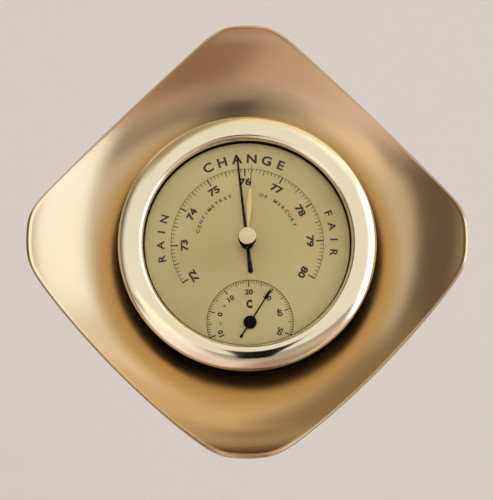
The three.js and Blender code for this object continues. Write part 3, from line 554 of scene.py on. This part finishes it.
STEPS_ROUND, STEPS_OUT, SEAT_SHARE = 360, 40, 0.1
dish_grid = add_node(
    surround_nodes, "GeometryNodeMeshGrid",
    {"Size X": 1.0, "Size Y": 1.0, "Vertices X": STEPS_ROUND + 1, "Vertices Y": STEPS_OUT + 1},
)
grid_at = add_node(
    surround_nodes, "ShaderNodeSeparateXYZ",
    {0: add_node(surround_nodes, "GeometryNodeInputPosition").outputs[0]},
)
turn_round = maths("MULTIPLY", maths("ADD", grid_at.outputs[0], 0.5), 2 * math.pi)
outward = maths("ADD", grid_at.outputs[1], 0.5)
reach_sum = 0.0
for k in range(8):
    label = ("Corner", "Side")[k % 2]
    offset = maths("SUBTRACT", turn_round, k * math.pi / 4)
    cosine = maths("COSINE", offset)
    back_off = maths("SUBTRACT", dish_in[label + " At"], dish_in[label + " Bow"])
    drop = maths("MULTIPLY", back_off, maths("SINE", offset))
    bow_square = maths("MULTIPLY", dish_in[label + " Bow"], dish_in[label + " Bow"])
    chord = maths("SQRT", maths("SUBTRACT", bow_square, maths("MULTIPLY", drop, drop)))
    straight = maths("ADD", maths("MULTIPLY", back_off, cosine), chord)
    facing = maths("GREATER_THAN", cosine, 0.2)
    near = maths("DIVIDE", dish_in["Seat Radius"], maths("MAXIMUM", straight, 1.0))
    term = maths("POWER", near, dish_in["Shoulder Softness"])
    reach_sum = maths("ADD", reach_sum, maths("MULTIPLY", facing, term))
softness = maths("DIVIDE", -1.0, dish_in["Shoulder Softness"])
reach = maths("MULTIPLY", maths("POWER", reach_sum, softness), dish_in["Seat Radius"])
seat_part = maths("DIVIDE", maths("MINIMUM", outward, SEAT_SHARE), SEAT_SHARE)
dish_part = maths(
    "DIVIDE", maths("MAXIMUM", maths("SUBTRACT", outward, SEAT_SHARE), 0.0), 1 - SEAT_SHARE
)
across = maths("MULTIPLY", dish_part, maths("SUBTRACT", reach, dish_in["Seat Radius"]))
seat_span = maths("SUBTRACT", dish_in["Seat Radius"], dish_in["Hole Radius"])
radius_here = maths(
    "ADD", maths("ADD", dish_in["Hole Radius"], maths("MULTIPLY", seat_part, seat_span)), across
)
dish_square = maths("MULTIPLY", dish_in["Dish Radius"], dish_in["Dish Radius"])
under_root = maths("SUBTRACT", dish_square, maths("MULTIPLY", across, across))
rise = maths("SUBTRACT", dish_in["Dish Radius"], maths("SQRT", under_root))
height_here = maths("ADD", dish_in["Seat Height"], rise)
dish_place = add_node(
    surround_nodes, "ShaderNodeCombineXYZ",
    {0: maths("MULTIPLY", radius_here, maths("COSINE", turn_round)),
     1: maths("MULTIPLY", radius_here, maths("SINE", turn_round)), 2: height_here},
)
dish_set = add_node(
    surround_nodes, "GeometryNodeSetPosition",
    {"Geometry": dish_grid.outputs["Mesh"], "Position": dish_place.outputs[0]},
)
dish_closed = add_node(
    surround_nodes, "GeometryNodeMergeByDistance",
    {"Geometry": dish_set.outputs[0], "Distance": 0.001},
)
end_growth(surround_nodes, dish_closed.outputs[0], dish_in["Material"])

OUT_OF_WALL = Matrix(((1, 0, 0, 0), (0, 0, -1, 0), (0, 1, 0, 0), (0, 0, 0, 1)))
TO_SCENE = OUT_OF_WALL @ Matrix.Scale(0.001, 4)


def grow(name, tree, inputs, values, material):
    """Runs a geometry node tree and returns its mesh, in millimetres."""
    seed = bpy.data.objects.new(name, bpy.data.meshes.new(name))
    scene.collection.objects.link(seed)
    modifier = seed.modifiers.new("grow", "NODES")
    modifier.node_group = tree
    for label, (identifier, default) in inputs.items():
        modifier[identifier] = material if label == "Material" else values.get(label, default)
    mesh = bpy.data.meshes.new_from_object(
        seed.evaluated_get(bpy.context.evaluated_depsgraph_get())
    )
    bpy.data.objects.remove(seed)
    return mesh


SHEET_T, SHEET_EDGE = 1.4, 0.22
surround_mesh = grow("surround_dish", surround_nodes, surround_inputs, {}, brass_satin)
surround_mesh.transform(TO_SCENE)
sheet = bmesh.new()
sheet.from_mesh(surround_mesh)
bmesh.ops.recalc_face_normals(sheet, faces=sheet.faces)
if sum(f.normal.y for f in sheet.faces) > 0:
    bmesh.ops.reverse_faces(sheet, faces=sheet.faces)
sheet.to_mesh(surround_mesh)
sheet.free()
surround = add_object("surround_dish", surround_mesh, brass_satin)
thick = surround.modifiers.new("thickness", "SOLIDIFY")
thick.thickness = SHEET_T / 1000
thick.offset = -1
thick.use_even_offset = True


def soften(piece, width, angle):
    """Applies a piece's modifiers and a bevel, in millimetres, on edges sharper than an angle."""
    edge = piece.modifiers.new("edge", "BEVEL")
    edge.width = width / 1000
    edge.segments = 2
    edge.limit_method = "ANGLE"
    edge.angle_limit = math.radians(angle)
    apply_modifiers(piece)


soften(surround, SHEET_EDGE, 50)
for face in surround.data.polygons:
    face.use_smooth = True
surround.data.set_sharp_from_angle(angle=math.radians(38))
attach(surround, "case")
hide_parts("surround_plate")

# The ring nut behind the surround, turned from steel, draws the case's flange on to it. It has
# the shape of its solid, and slots for a pin spanner.
steel = finish("worked_steel", (0.56, 0.555, 0.54), (0.40, 0.37, 0.33), 0.25, 0.42, tooth=3000)


def dress(material, *names):
    """Gives CAD nodes that stay as they are a material."""
    for name in names:
        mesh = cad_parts[name].data
        mesh.materials.clear()
        mesh.materials.append(material)


dress(steel, "ring_nut")

# The movement's frame. Base, train plate and bridge are stamped from brass and grained straight;
# turned brass pillars stand between them, held by slotted steel screws.
works_brass = finish(
    "works_brass", (0.80, 0.60, 0.30), (0.55, 0.36, 0.15), 0.24, 0.38,
    size=80, stretch=(0.05, 1, 1), tooth=3500, depth=0.4,
)
dress(
    works_brass, "base_plate", "train_plate", "top_bridge", "rocker_bearing_left",
    "rocker_bearing_right", *[f"train_pillar_{i}" for i in range(1, 5)],
    *[f"bridge_pillar_{i}" for i in range(1, 3)], *[f"dial_foot_{i}" for i in range(1, 4)],
)
screw_steel = finish("blued_steel", (0.30, 0.32, 0.38), (0.16, 0.14, 0.16), 0.2, 0.32, size=150)
dress(
    screw_steel, *[f"base_screw_{i}" for i in range(1, 4)],
    *[f"train_screw_{i}" for i in range(1, 5)], *[f"bridge_screw_{i}" for i in range(1, 3)],
    *[f"spring_screw_{i}" for i in range(1, 3)],
)

# The pressure capsule, rolled from nickel silver and soldered at its rim, with its post and the
# leaf spring that holds it open.
nickel = finish("nickel_silver", (0.66, 0.64, 0.58), (0.47, 0.43, 0.35), 0.18, 0.34, size=50)
dress(nickel, "capsule")
dress(steel, "capsule_post", "main_spring", "rocker")

# The train. The brass sector drives a steel pinion on the hand's arbor, which a flat hairspring
# holds against it.
dress(works_brass, "sector", "hairspring_collet", "hairspring_stud")
spring_steel = finish("spring_steel", (0.42, 0.44, 0.50), (0.28, 0.27, 0.30), 0.22, 0.3, size=200)
dress(spring_steel, "hairspring")
dress(steel, "sector_arbor", "pinion_arbor")

# The thermometer. A coil of two metals, held by a post on a brass bracket behind the dial, turns
# a steel arbor that passes through the dial to the small hand.
dress(works_brass, "thermo_bracket", "coil_post")
bimetal = finish("bimetal", (0.70, 0.52, 0.32), (0.50, 0.40, 0.32), 0.26, 0.4, size=120)
dress(bimetal, "bimetal_coil")
dress(steel, "thermo_arbor")

# The rim. A ring pressed from sheet metal and lacquered black, round the dial. It carries the
# bezel, and the glass in a rebate. Its skirt goes round the case's flange to the surround.
black_lacquer = finish(
    "black_lacquer", (0.004, 0.0035, 0.003), (0.010, 0.008, 0.006), 0.42, 0.55, size=90,
    amount=0.5, tooth=2500, depth=0, metallic=0, specular=0,
)
RIM_R, GLASS_SEAT, REBATE_R, RIM_TOP, SKIRT_R, SKIRT_FOOT = 41.3, 24.35, 43.8, 25.2, 51.7, 16.3
RIM_FOOT, RIM_WALL, RIM_DECK, SKIRT_T = FLANGE_Z + 0.3, 1.7, 1.5, 1.2
rim_profile = rounded(
    [
        (RIM_R, RIM_FOOT), (RIM_R + RIM_WALL, RIM_FOOT), (RIM_R + RIM_WALL, GLASS_SEAT - RIM_DECK),
        (SKIRT_R - SKIRT_T, GLASS_SEAT - RIM_DECK), (SKIRT_R - SKIRT_T, SKIRT_FOOT),
        (SKIRT_R, SKIRT_FOOT), (SKIRT_R, RIM_TOP), (REBATE_R, RIM_TOP), (REBATE_R, GLASS_SEAT),
        (RIM_R, GLASS_SEAT),
    ],
    0.2,
)
rim = add_object("dial_ring", lathe("dial_ring", rim_profile, 192), black_lacquer)
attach(rim, "case")
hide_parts("dial_rim")

# The dial. A disc of sheet metal in champagne lacquer over a faint upright grain, set two degrees
# round, with holes for the two arbors.
DIAL_R, DIAL_BACK, DIAL_Z, DIAL_TURN = 40.95, 23.2, 24.0, 2.0
THERMO_AT = 32.1
thermo_x = THERMO_AT * math.sin(math.radians(DIAL_TURN))
thermo_y = -THERMO_AT * math.cos(math.radians(DIAL_TURN))
champagne = finish(
    "champagne_lacquer", (0.64, 0.53, 0.275), (0.54, 0.42, 0.19), 0.36, 0.46, size=22,
    amount=0.9, tooth=5200, stretch=(1, 1, 0.08), depth=0.15, metallic=0.55,
)
dial_profile = rounded(
    [(0, DIAL_BACK), (DIAL_R, DIAL_BACK), (DIAL_R, DIAL_Z), (0, DIAL_Z)], 0.08, closed=False
)
dial = add_object("dial_disc", lathe("dial_disc", dial_profile, 192), champagne)
HAND_HOLE_R, THERMO_HOLE_R = 1.5, 1.2
drill(
    dial, plug(HAND_HOLE_R, 0, 0, 20, 28, 32), plug(THERMO_HOLE_R, thermo_x, thermo_y, 20, 28, 32)
)
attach(dial, "case")
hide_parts("dial_plate")

# The printing on the dial, in one pull of dark brown ink: a scale of centimetres of mercury over
# the top, plain weather words outside it, and a scale of degrees in the thermometer's circle.
ink = finish(
    "dial_ink", (0.022, 0.016, 0.01), (0.06, 0.046, 0.027), 0.55, 0.55, size=400, amount=0.8,
    depth=0, metallic=0, specular=0.3,
)
INK, NONE_LEFT_OUT = 0.03, 1000

tick_nodes, tick_inputs, tick_in = new_growth("scale_of_ticks", (
    ("Count", "NodeSocketInt", 10), ("Start", "NodeSocketFloat", 0.0),
    ("Step", "NodeSocketFloat", 3.0), ("Leave Out Every", "NodeSocketInt", NONE_LEFT_OUT),
    ("Outer Radius", "NodeSocketFloat", 30.0), ("Length", "NodeSocketFloat", 1.0),
    ("Width", "NodeSocketFloat", 0.2), ("Thickness", "NodeSocketFloat", INK),
))
tick_index = add_node(tick_nodes, "GeometryNodeInputIndex").outputs[0]
tick_turn = maths(
    "RADIANS",
    maths("ADD", tick_in["Start"], maths("MULTIPLY", tick_index, tick_in["Step"], tick_nodes),
          tick_nodes),
    tree=tick_nodes,
)
tick_middle = maths(
    "SUBTRACT", tick_in["Outer Radius"], maths("MULTIPLY", tick_in["Length"], 0.5, tick_nodes),
    tick_nodes,
)
tick_place = add_node(
    tick_nodes, "ShaderNodeCombineXYZ",
    {0: maths("MULTIPLY", tick_middle, maths("SINE", tick_turn, tree=tick_nodes), tick_nodes),
     1: maths("MULTIPLY", tick_middle, maths("COSINE", tick_turn, tree=tick_nodes), tick_nodes)},
)
tick_points = add_node(
    tick_nodes, "GeometryNodePoints",
    {"Count": tick_in["Count"], "Position": tick_place.outputs[0]},
)
tick_size = add_node(
    tick_nodes, "ShaderNodeCombineXYZ",
    {0: tick_in["Width"], 1: tick_in["Length"], 2: tick_in["Thickness"]},
)
tick_bar = add_node(tick_nodes, "GeometryNodeMeshCube", {"Size": tick_size.outputs[0]})
tick_lean = add_node(
    tick_nodes, "FunctionNodeEulerToRotation",
    {0: add_node(
        tick_nodes, "ShaderNodeCombineXYZ",
        {2: maths("MULTIPLY", tick_turn, -1.0, tick_nodes)},
    ).outputs[0]},
)
tick_kept = maths(
    "GREATER_THAN", maths("FLOORED_MODULO", tick_index, tick_in["Leave Out Every"], tick_nodes),
    0.5, tick_nodes,
)
tick_whole = maths(
    "GREATER_THAN", tick_in["Leave Out Every"], NONE_LEFT_OUT - 1.0, tick_nodes
)
tick_set = add_node(
    tick_nodes, "GeometryNodeInstanceOnPoints",
    {"Points": tick_points.outputs[0], "Instance": tick_bar.outputs["Mesh"],
     "Rotation": tick_lean.outputs[0],
     "Selection": maths("MAXIMUM", tick_kept, tick_whole, tick_nodes)},
)
end_growth(tick_nodes, tick_set.outputs[0], tick_in["Material"])


def on_dial(x, y, degrees=0.0):
    """Moves what is drawn in millimetres round a point on to the dial, turned clockwise."""
    return (
        TO_SCENE @ Matrix.Translation((x, y, DIAL_Z + INK / 2))
        @ Matrix.Rotation(math.radians(-degrees), 4, "Z")
    )


printing = bmesh.new()


def print_mesh(mesh, matrix):
    """Adds a mesh to the printing, moved to its place."""
    mesh.transform(matrix)
    printing.from_mesh(mesh)
    bpy.data.meshes.remove(mesh)


def print_ticks(x, y, **values):
    """Prints a ring of ticks round a point of the dial."""
    values = {key.replace("_", " "): value for key, value in values.items()}
    print_mesh(grow("ticks", tick_nodes, tick_inputs, values, ink), on_dial(x, y, -DIAL_TURN))


SCALE_R, THERMO_R, DEGREE = 30.4, 17.1, 3.62
for count, start, step, leave, length, width in (
    (81, -120, 3, 5, 1.35, 0.26), (8, -105, 30, NONE_LEFT_OUT, 2.1, 0.34),
    (9, -120, 30, NONE_LEFT_OUT, 2.9, 0.58),
):
    print_ticks(
        0, 0, Count=count, Start=start, Step=step, Leave_Out_Every=leave,
        Outer_Radius=SCALE_R, Length=length, Width=width,
    )
for count, start, step, leave, length, width in (
    (61, -30, 1, 5, 1.25, 0.27), (6, -25, 10, NONE_LEFT_OUT, 1.9, 0.34),
    (7, -30, 10, NONE_LEFT_OUT, 2.7, 0.46),
):
    print_ticks(
        thermo_x, thermo_y, Count=count, Start=start * DEGREE, Step=step * DEGREE,
        Leave_Out_Every=leave, Outer_Radius=THERMO_R, Length=length, Width=width,
    )


def print_arc(x, y, radius, width, start, end, steps=144):
    """A printed line along part of a circle, between two angles clockwise from the top."""
    line = bmesh.new()
    rows = []
    inner, outer = radius - width / 2, radius + width / 2
    for i in range(steps + 1):
        a = math.radians(start + (end - start) * i / steps)
        rows.append([
            line.verts.new((r * math.sin(a), r * math.cos(a), z))
            for r, z in ((inner, -INK / 2), (outer, -INK / 2), (outer, INK / 2), (inner, INK / 2))
        ])
    for low, high in zip(rows, rows[1:]):
        for k in range(4):
            line.faces.new((low[k], low[(k + 1) % 4], high[(k + 1) % 4], high[k]))
    line.faces.new(rows[0])
    line.faces.new(rows[-1][::-1])
    bmesh.ops.recalc_face_normals(line, faces=line.faces)
    mesh = bpy.data.meshes.new("arc")
    line.to_mesh(mesh)
    line.free()
    print_mesh(mesh, on_dial(x, y, -DIAL_TURN))


print_arc(0, 0, SCALE_R, 0.2, -120.5, 120.5)
print_arc(thermo_x, thermo_y, THERMO_R, 0.28, -111, 111)


CAPITAL_SHARE = 0.729


def glyph(text, height, broad, bold):
    """Characters as a flat mesh, their foot on the x axis and their middle on the y axis."""
    letters = bpy.data.curves.new(text, "FONT")
    letters.body = text
    letters.size = height / CAPITAL_SHARE
    letters.offset = bold
    letters.extrude = INK / 2
    letters.resolution_u = 4
    holder = bpy.data.objects.new(text, letters)
    scene.collection.objects.link(holder)
    mesh = bpy.data.meshes.new_from_object(
        holder.evaluated_get(bpy.context.evaluated_depsgraph_get())
    )
    bpy.data.objects.remove(holder)
    xs = [v.co.x for v in mesh.vertices]
    mesh.transform(
        Matrix.Diagonal((broad, 1, 1, 1)) @ Matrix.Translation((-(min(xs) + max(xs)) / 2, 0, 0))
    )
    return mesh


def print_round(text, x, y, radius, angle, height, broad=1.0, bold=0.0):
    """Prints a label whose middle stands at a radius, its head outwards."""
    a = math.radians(angle - DIAL_TURN)
    foot = radius - height / 2
    print_mesh(
        glyph(text, height, broad, bold),
        on_dial(x + foot * math.sin(a), y + foot * math.cos(a), angle - DIAL_TURN),
    )


def print_word(word, radius, middle, spread, height, broad=1.0, bold=0.0):
    """Prints a word letter by letter along a circle, spread evenly over an angle."""
    for i, letter in enumerate(word):
        if letter != " ":
            angle = middle + spread * (i / (len(word) - 1) - 0.5)
            print_round(letter, 0, 0, radius, angle, height, broad, bold)


for i in range(9):
    print_round(str(72 + i), 0, 0, 25.2, -120 + 30 * i, 2.75, 1.25, 0.17)
for i in range(7):
    print_round(
        str(abs(10 * i - 10)), thermo_x, thermo_y, 12.4, (10 * i - 30) * DEGREE, 2.0, 1.15, 0.12
    )
print_round("\u2013", thermo_x, thermo_y, 12.0, -90, 1.6, 1.0, 0.08)
print_round("+", thermo_x, thermo_y, 12.2, -55, 1.3, 1.0, 0.07)
print_round("C", thermo_x, thermo_y, 7.6, 0, 3.1, 0.74, 0.3)
print_word("CHANGE", 34.7, 0, 50, 3.7, 1.15, 0.15)
print_word("RAIN", 34.7, -85, 27, 3.1, 1.1, 0.10)
print_word("FAIR", 34.7, 85, 27, 3.1, 1.1, 0.10)
print_word("CENTIMETRES", 20.4, -46, 56, 1.4, 1.15, 0.05)
print_word("OF MERCURY", 20.4, 44, 52, 1.4, 1.15, 0.05)

printing_mesh = bpy.data.meshes.new("dial_printing")
bmesh.ops.remove_doubles(printing, verts=printing.verts, dist=1e-9)
printing.to_mesh(printing_mesh)
printing.free()
dial_printing = add_object("dial_printing", printing_mesh, ink)
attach(dial_printing, "case")

# The hands. The indicating hand, with its disc, and the thermometer's are stamped thin and
# enamelled black, each on a turned bush; the set hand is a gilt leaf on the knob's stem, its
# needle painted dark as a reflection.
black_enamel = finish(
    "black_enamel", (0.0015, 0.0013, 0.001), (0.006, 0.005, 0.004), 0.36, 0.48, size=120,
    amount=0.5, tooth=6000, depth=0, metallic=0, specular=0.05,
)


def stamped(name, half, low, high, degrees, at, material, hole, edge_width):
    """A hand stamped from sheet: half its outline is (distance from its centre, half width)."""
    turn = Matrix.Rotation(math.radians(degrees), 4, "Z")
    shape = bmesh.new()
    outline = [(r, -w) for r, w in half] + [(r, w) for r, w in reversed(half)]
    corners = []
    for r, w in outline:
        x, y, _ = turn @ Vector((r, w, 0))
        corners.append(shape.verts.new(place(at[0] + x, at[1] + y, low)))
    sole = shape.faces.new(corners)
    raised = bmesh.ops.extrude_face_region(shape, geom=[sole])
    bmesh.ops.translate(
        shape, vec=place(0, 0, high - low),
        verts=[v for v in raised["geom"] if isinstance(v, bmesh.types.BMVert)],
    )
    piece = add_object(name, finish_mesh(shape, name), material)
    soften(piece, edge_width, 60)
    drill(piece, plug(hole, *at, low - 1, high + 1, 32))
    return piece


def leaf_points(points, steps=4):
    """Smooths half an outline with a curve through its points."""
    out = []
    for i in range(len(points) - 1):
        p = [points[max(i - 1, 0)], points[i], points[i + 1], points[min(i + 2, len(points) - 1)]]
        for k in range(steps):
            t = k / steps
            out.append(tuple(
                0.5 * (2 * b + (c - a) * t + (2 * a - 5 * b + 4 * c - d) * t * t
                       + (3 * b - a - 3 * c + d) * t ** 3)
                for a, b, c, d in zip(*p)
            ))
    return out + [points[-1]]


HAND_TIP, HAND_TAIL, HAND_Z, HAND_T, HAND_TURN = 36.2, 12.4, DIAL_Z + 0.8, 0.35, 96.6
TAIL_HALF, DISC_R = 1.02, 2.6
tail_turns = [math.radians(a) for a in range(0, 91, 15)]
disc_turns = [math.radians(a) for a in range(15, 166, 10)]
hand_half = (
    [(TAIL_HALF - HAND_TAIL - math.cos(a), 0.05 + 0.97 * math.sin(a)) for a in tail_turns]
    + leaf_points([(1.1 - HAND_TAIL, TAIL_HALF), (-7, 0.78), (-2.54, 0.56)])
    + [(-DISC_R * math.cos(a), DISC_R * math.sin(a)) for a in disc_turns]
    + [(2.54, 0.6), (HAND_TIP - 4, 0.36), (HAND_TIP, 0.2)]
)
pointer = stamped(
    "pointer_hand", hand_half, HAND_Z, HAND_Z + HAND_T, HAND_TURN, (0, 0), black_enamel, 1.06, 0.05
)
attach(pointer, "pointer")
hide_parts("indicating_hand")
PIPE_R, PIN_R, PIPE_FOOT, PIPE_TOP, PIN_TOP = 1.35, 1, DIAL_Z + 0.3, HAND_Z - 0.1, HAND_Z + 0.95
bush_profile = rounded(
    [(0, PIPE_FOOT), (PIPE_R, PIPE_FOOT), (PIPE_R, PIPE_TOP), (PIN_R, PIPE_TOP),
     (PIN_R, PIN_TOP), (0, PIN_TOP)],
    0.12, closed=False,
)
pointer_bush = add_object("pointer_bush", lathe("pointer_bush", bush_profile, 48), black_enamel)
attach(pointer_bush, "pointer")
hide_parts("hand_bush")

THERMO_TIP, THERMO_TAIL, THERMO_HAND_Z, THERMO_TURN = 16.0, 7.2, DIAL_Z + 0.4, 58
thermo_half = [
    (-THERMO_TAIL, 0.25), (-0.97 * THERMO_TAIL, 0.5), (-0.84 * THERMO_TAIL, 0.55),
    (-0.79 * THERMO_TAIL, 0.28), (-1.6, 0.28), (-1.2, 0.9), (-0.5, 1.4), (0.5, 1.4), (1.2, 0.9),
    (1.6, 0.28), (0.69 * THERMO_TIP, 0.27), (0.74 * THERMO_TIP, 0.52),
    (0.87 * THERMO_TIP, 0.55), (THERMO_TIP, 0.08),
]
thermo_pointer = stamped(
    "thermometer_pointer", thermo_half, THERMO_HAND_Z, THERMO_HAND_Z + HAND_T, THERMO_TURN,
    (thermo_x, thermo_y), black_enamel, 0.56, 0.04,
)
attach(thermo_pointer, "thermometer_hand")
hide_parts("thermo_hand")
HUB_R, HUB_Z, HUB_WALL, HUB_CROWN = 2.6, THERMO_HAND_Z + 0.6, 0.55, 0.65
hub_turns = [math.radians(a) for a in range(10, 90, 10)]
hub_profile = (
    [(0, HUB_Z), (HUB_R - 0.1, HUB_Z), (HUB_R, HUB_Z + 0.1), (HUB_R, HUB_Z + HUB_WALL)]
    + [(HUB_R * math.cos(a), HUB_Z + HUB_WALL + HUB_CROWN * math.sin(a)) for a in hub_turns]
    + [(0, HUB_Z + HUB_WALL + HUB_CROWN)]
)
thermo_boss = add_object(
    "thermometer_boss", lathe("thermometer_boss", hub_profile, 64, (thermo_x, thermo_y)),
    black_enamel,
)
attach(thermo_boss, "thermometer_hand")
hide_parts("thermo_hub")

SET_TIP, SET_Z, SET_T, SET_TURN = 31.7, DIAL_Z + 2.6, 0.4, 86.8
NEEDLE_FROM, NEEDLE_FULL = 21.5, 23.5


def dark_needle(tree, tone):
    """Painted dark reflection: darkens the set hand from the end of its leaf on."""
    at = add_node(
        tree, "ShaderNodeSeparateXYZ",
        {0: add_node(tree, "ShaderNodeTexCoord").outputs["Object"]},
    )
    needle = add_node(
        tree, "ShaderNodeMapRange",
        {"Value": at.outputs[2], "From Min": NEEDLE_FROM / 1000, "From Max": NEEDLE_FULL / 1000},
    )
    return blend(tree, needle.outputs[0], tone, (0.05, 0.035, 0.02, 1))


# The gilt's dark needle end is a painted reflection.
pale_gilt = finish(
    "pale_gilt", (0.80, 0.62, 0.30), (0.66, 0.47, 0.20), 0.24, 0.34, size=90, amount=0.4,
    shade=dark_needle,
)
set_half = leaf_points(
    [(-1.5, 0.4), (-1.1, 1.3), (0.9, 1.5), (1.7, 0.8), (2.4, 0.34), (7.3, 0.34), (10.5, 0.74),
     (15.2, 1.02), (18.9, 0.72), (22.7, 0.26)]
) + [(SET_TIP, 0.08)]
set_leaf = stamped(
    "set_leaf", set_half, SET_Z, SET_Z + SET_T, SET_TURN, (0, 0), pale_gilt, 0.96, 0.06
)
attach(set_leaf, "set_hand")
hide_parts("set_hand")

# The glass. A shallow dome with a ground edge that lies in the rim's rebate, under the bezel's
# lip. A hole is drilled through its middle for the bush of the set hand.
GLASS_R, GLASS_EDGE_Z, GLASS_RISE, GLASS_T, GLASS_HOLE_R = 43.3, 26.15, 6.0, 1.5, 1.9
glass_ball = (GLASS_R ** 2 + GLASS_RISE ** 2) / (2 * GLASS_RISE)
clear_glass, glass_tree = new_material("clear_glass")
glass_smear = use_group(glass_tree, satin, Tooth=60.0, Low=0.0, High=0.03)
glass_body = add_node(
    glass_tree, "ShaderNodeBsdfPrincipled",
    {"Base Color": (0.985, 0.99, 0.975, 1), "Roughness": glass_smear.outputs["Roughness"],
     "IOR": 1.45, "Transmission Weight": 1.0, "Specular Tint": (0.16, 0.16, 0.15, 1)},
)
glass_path = add_node(glass_tree, "ShaderNodeLightPath")
glass_lets = add_node(glass_tree, "ShaderNodeBsdfTransparent", {"Color": (0.96, 0.965, 0.95, 1)})
show(glass_tree, add_node(
    glass_tree, "ShaderNodeMixShader",
    {0: glass_path.outputs["Is Shadow Ray"], 1: glass_body.outputs[0], 2: glass_lets.outputs[0]},
))


def dome(r, depth=0.0):
    """A point of the glass's face, or of what lies a depth behind it, at a radius."""
    return (r, GLASS_EDGE_Z + GLASS_RISE - glass_ball + math.sqrt(glass_ball ** 2 - r * r) - depth)


glass_steps = [GLASS_HOLE_R + (GLASS_R - GLASS_HOLE_R) * i / 40 for i in range(41)]
glass_profile = [dome(r, GLASS_T) for r in glass_steps] + [dome(r) for r in reversed(glass_steps)]
glass = add_object("glass_dome", lathe("glass_dome", glass_profile, 160), clear_glass)
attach(glass, "case")
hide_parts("glass")

# The bezel. A ring spun from sheet brass, turned in to a lip over the glass and rounded over its
# outer edge down to the rim, polished and plated in pale gold.
champagne_gold = finish(
    "champagne_gold", (0.93, 0.84, 0.66), (0.86, 0.73, 0.50), 0.055, 0.11, size=40, amount=0.4,
    tooth=1500, depth=0,
)
LIP_R, LIP_Z, CREST_R, BEZEL_R = 41.6, 27.0, 43.8, 51.7
BEZEL_FOOT, BEZEL_TOP, BEZEL_WALL = 25.5, 29.4, 1.2
FACE_TURN, SHOULDER = 24.0, 2.3


def oval(centre, a, b, start, end, steps):
    """Points along part of an oval of half widths a and b, between two angles."""
    turns = [math.radians(start + (end - start) * i / steps) for i in range(steps + 1)]
    return [(centre[0] + a * math.cos(t), centre[1] + b * math.sin(t)) for t in turns]


turned_down = math.sin(math.radians(FACE_TURN))
face_r = (BEZEL_R - CREST_R - SHOULDER * (1 - turned_down)) / turned_down
face_at = (CREST_R, BEZEL_TOP - face_r)
shoulder_at = (
    BEZEL_R - SHOULDER, face_at[1] + (face_r - SHOULDER) * math.cos(math.radians(FACE_TURN))
)
rear_r = face_r - BEZEL_WALL
rear_end = math.degrees(math.acos((BEZEL_R - BEZEL_WALL - CREST_R) / rear_r))
bezel_profile = (
    [(BEZEL_R, BEZEL_FOOT)]
    + oval(shoulder_at, SHOULDER, SHOULDER, 0, 90 - FACE_TURN, 20)
    + oval(face_at, face_r, face_r, 90 - FACE_TURN, 90, 24)[1:]
    + oval((CREST_R, LIP_Z), CREST_R - LIP_R, BEZEL_TOP - LIP_Z, 90, 180, 20)[1:]
    + oval((LIP_R + 0.25, LIP_Z), 0.25, 0.2, 180, 270, 3)[1:]
    + oval((CREST_R, LIP_Z), 1.3, BEZEL_TOP - LIP_Z - BEZEL_WALL, 180, 90, 8)
    + oval(face_at, rear_r, rear_r, 90, rear_end, 12)[1:]
    + [(BEZEL_R - BEZEL_WALL, BEZEL_FOOT)]
)
bezel = add_object("bezel_ring", lathe("bezel_ring", bezel_profile, 256), champagne_gold)
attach(bezel, "case")
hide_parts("bezel")

# The set hand's knob, turned from brass and plated, its side painted black as shade, on a stem
# that runs in a black bush in the glass. A nut holds the bush from behind and a spring washer
# keeps the hand where it is put.
KNOB_R, KNOB_Z, KNOB_H = 3.5, 33.25, 6.6
knob_plate, knob_tree = new_material("turned_knob")
knob_tone = use_group(
    knob_tree, tarnish, Fresh=(0.82, 0.69, 0.47, 1), Aged=(0.62, 0.48, 0.31, 1), Size=160.0,
    Amount=0.5,
)
knob_out = from_axis(knob_tree)
# Painted shade: the knob's side is near black and not metal.
knob_shaded_side = add_node(
    knob_tree, "ShaderNodeMapRange",
    {"Value": knob_out, "From Min": (KNOB_R - 0.15) / 1000, "From Max": (KNOB_R - 0.05) / 1000},
)
knob_polished = add_node(
    knob_tree, "ShaderNodeMath", {0: 1.0, 1: knob_shaded_side.outputs[0]}, operation="SUBTRACT"
)
knob_colour = blend(
    knob_tree, knob_shaded_side.outputs[0], knob_tone.outputs["Color"], (0.006, 0.004, 0.002, 1)
)
knob_rings = add_node(
    knob_tree, "ShaderNodeTexNoise", {"W": knob_out, "Scale": 9000.0}, noise_dimensions="1D"
)
knob_satin = use_group(knob_tree, satin, Tooth=3000.0, Low=0.2, High=0.28)
knob_bump = add_node(
    knob_tree, "ShaderNodeBump",
    {"Strength": 1.0, "Distance": 3e-6, "Height": knob_rings.outputs[0]},
)
show(knob_tree, add_node(
    knob_tree, "ShaderNodeBsdfPrincipled",
    {"Base Color": knob_colour, "Roughness": knob_satin.outputs["Roughness"],
     "Metallic": knob_polished.outputs[0], "Specular IOR Level": 0.0,
     "Normal": knob_bump.outputs[0]},
))
knob_profile = rounded(
    [(0, KNOB_Z), (KNOB_R, KNOB_Z), (KNOB_R, KNOB_Z + KNOB_H), (0, KNOB_Z + KNOB_H)], 0.4, 5,
    closed=False,
)
knob = add_object("knob", lathe("knob", knob_profile, 96), knob_plate)
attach(knob, "set_hand")
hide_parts("set_knob")
BUSH_BORE, BUSH_R, BUSH_FOOT, HEAD_R, HEAD_FOOT, HEAD_TOP = 0.98, 1.6, 30.0, 3, 32.45, 32.95
stem_bush_profile = rounded(
    [(BUSH_BORE, BUSH_FOOT), (BUSH_R, BUSH_FOOT), (BUSH_R, HEAD_FOOT), (HEAD_R, HEAD_FOOT),
     (HEAD_R, HEAD_TOP), (BUSH_BORE, HEAD_TOP)],
    0.12,
)
stem_bush = add_object("stem_bush", lathe("stem_bush", stem_bush_profile, 64), black_lacquer)
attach(stem_bush, "case")
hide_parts("glass_bush")
dress(gilt, "bush_nut", "set_stem")
dress(steel, "spring_washer")

# The adjusting screw. Slotted steel behind the capsule, reached through the case's back, it sets
# the hand to the local pressure.
dress(steel, "adjusting_screw")
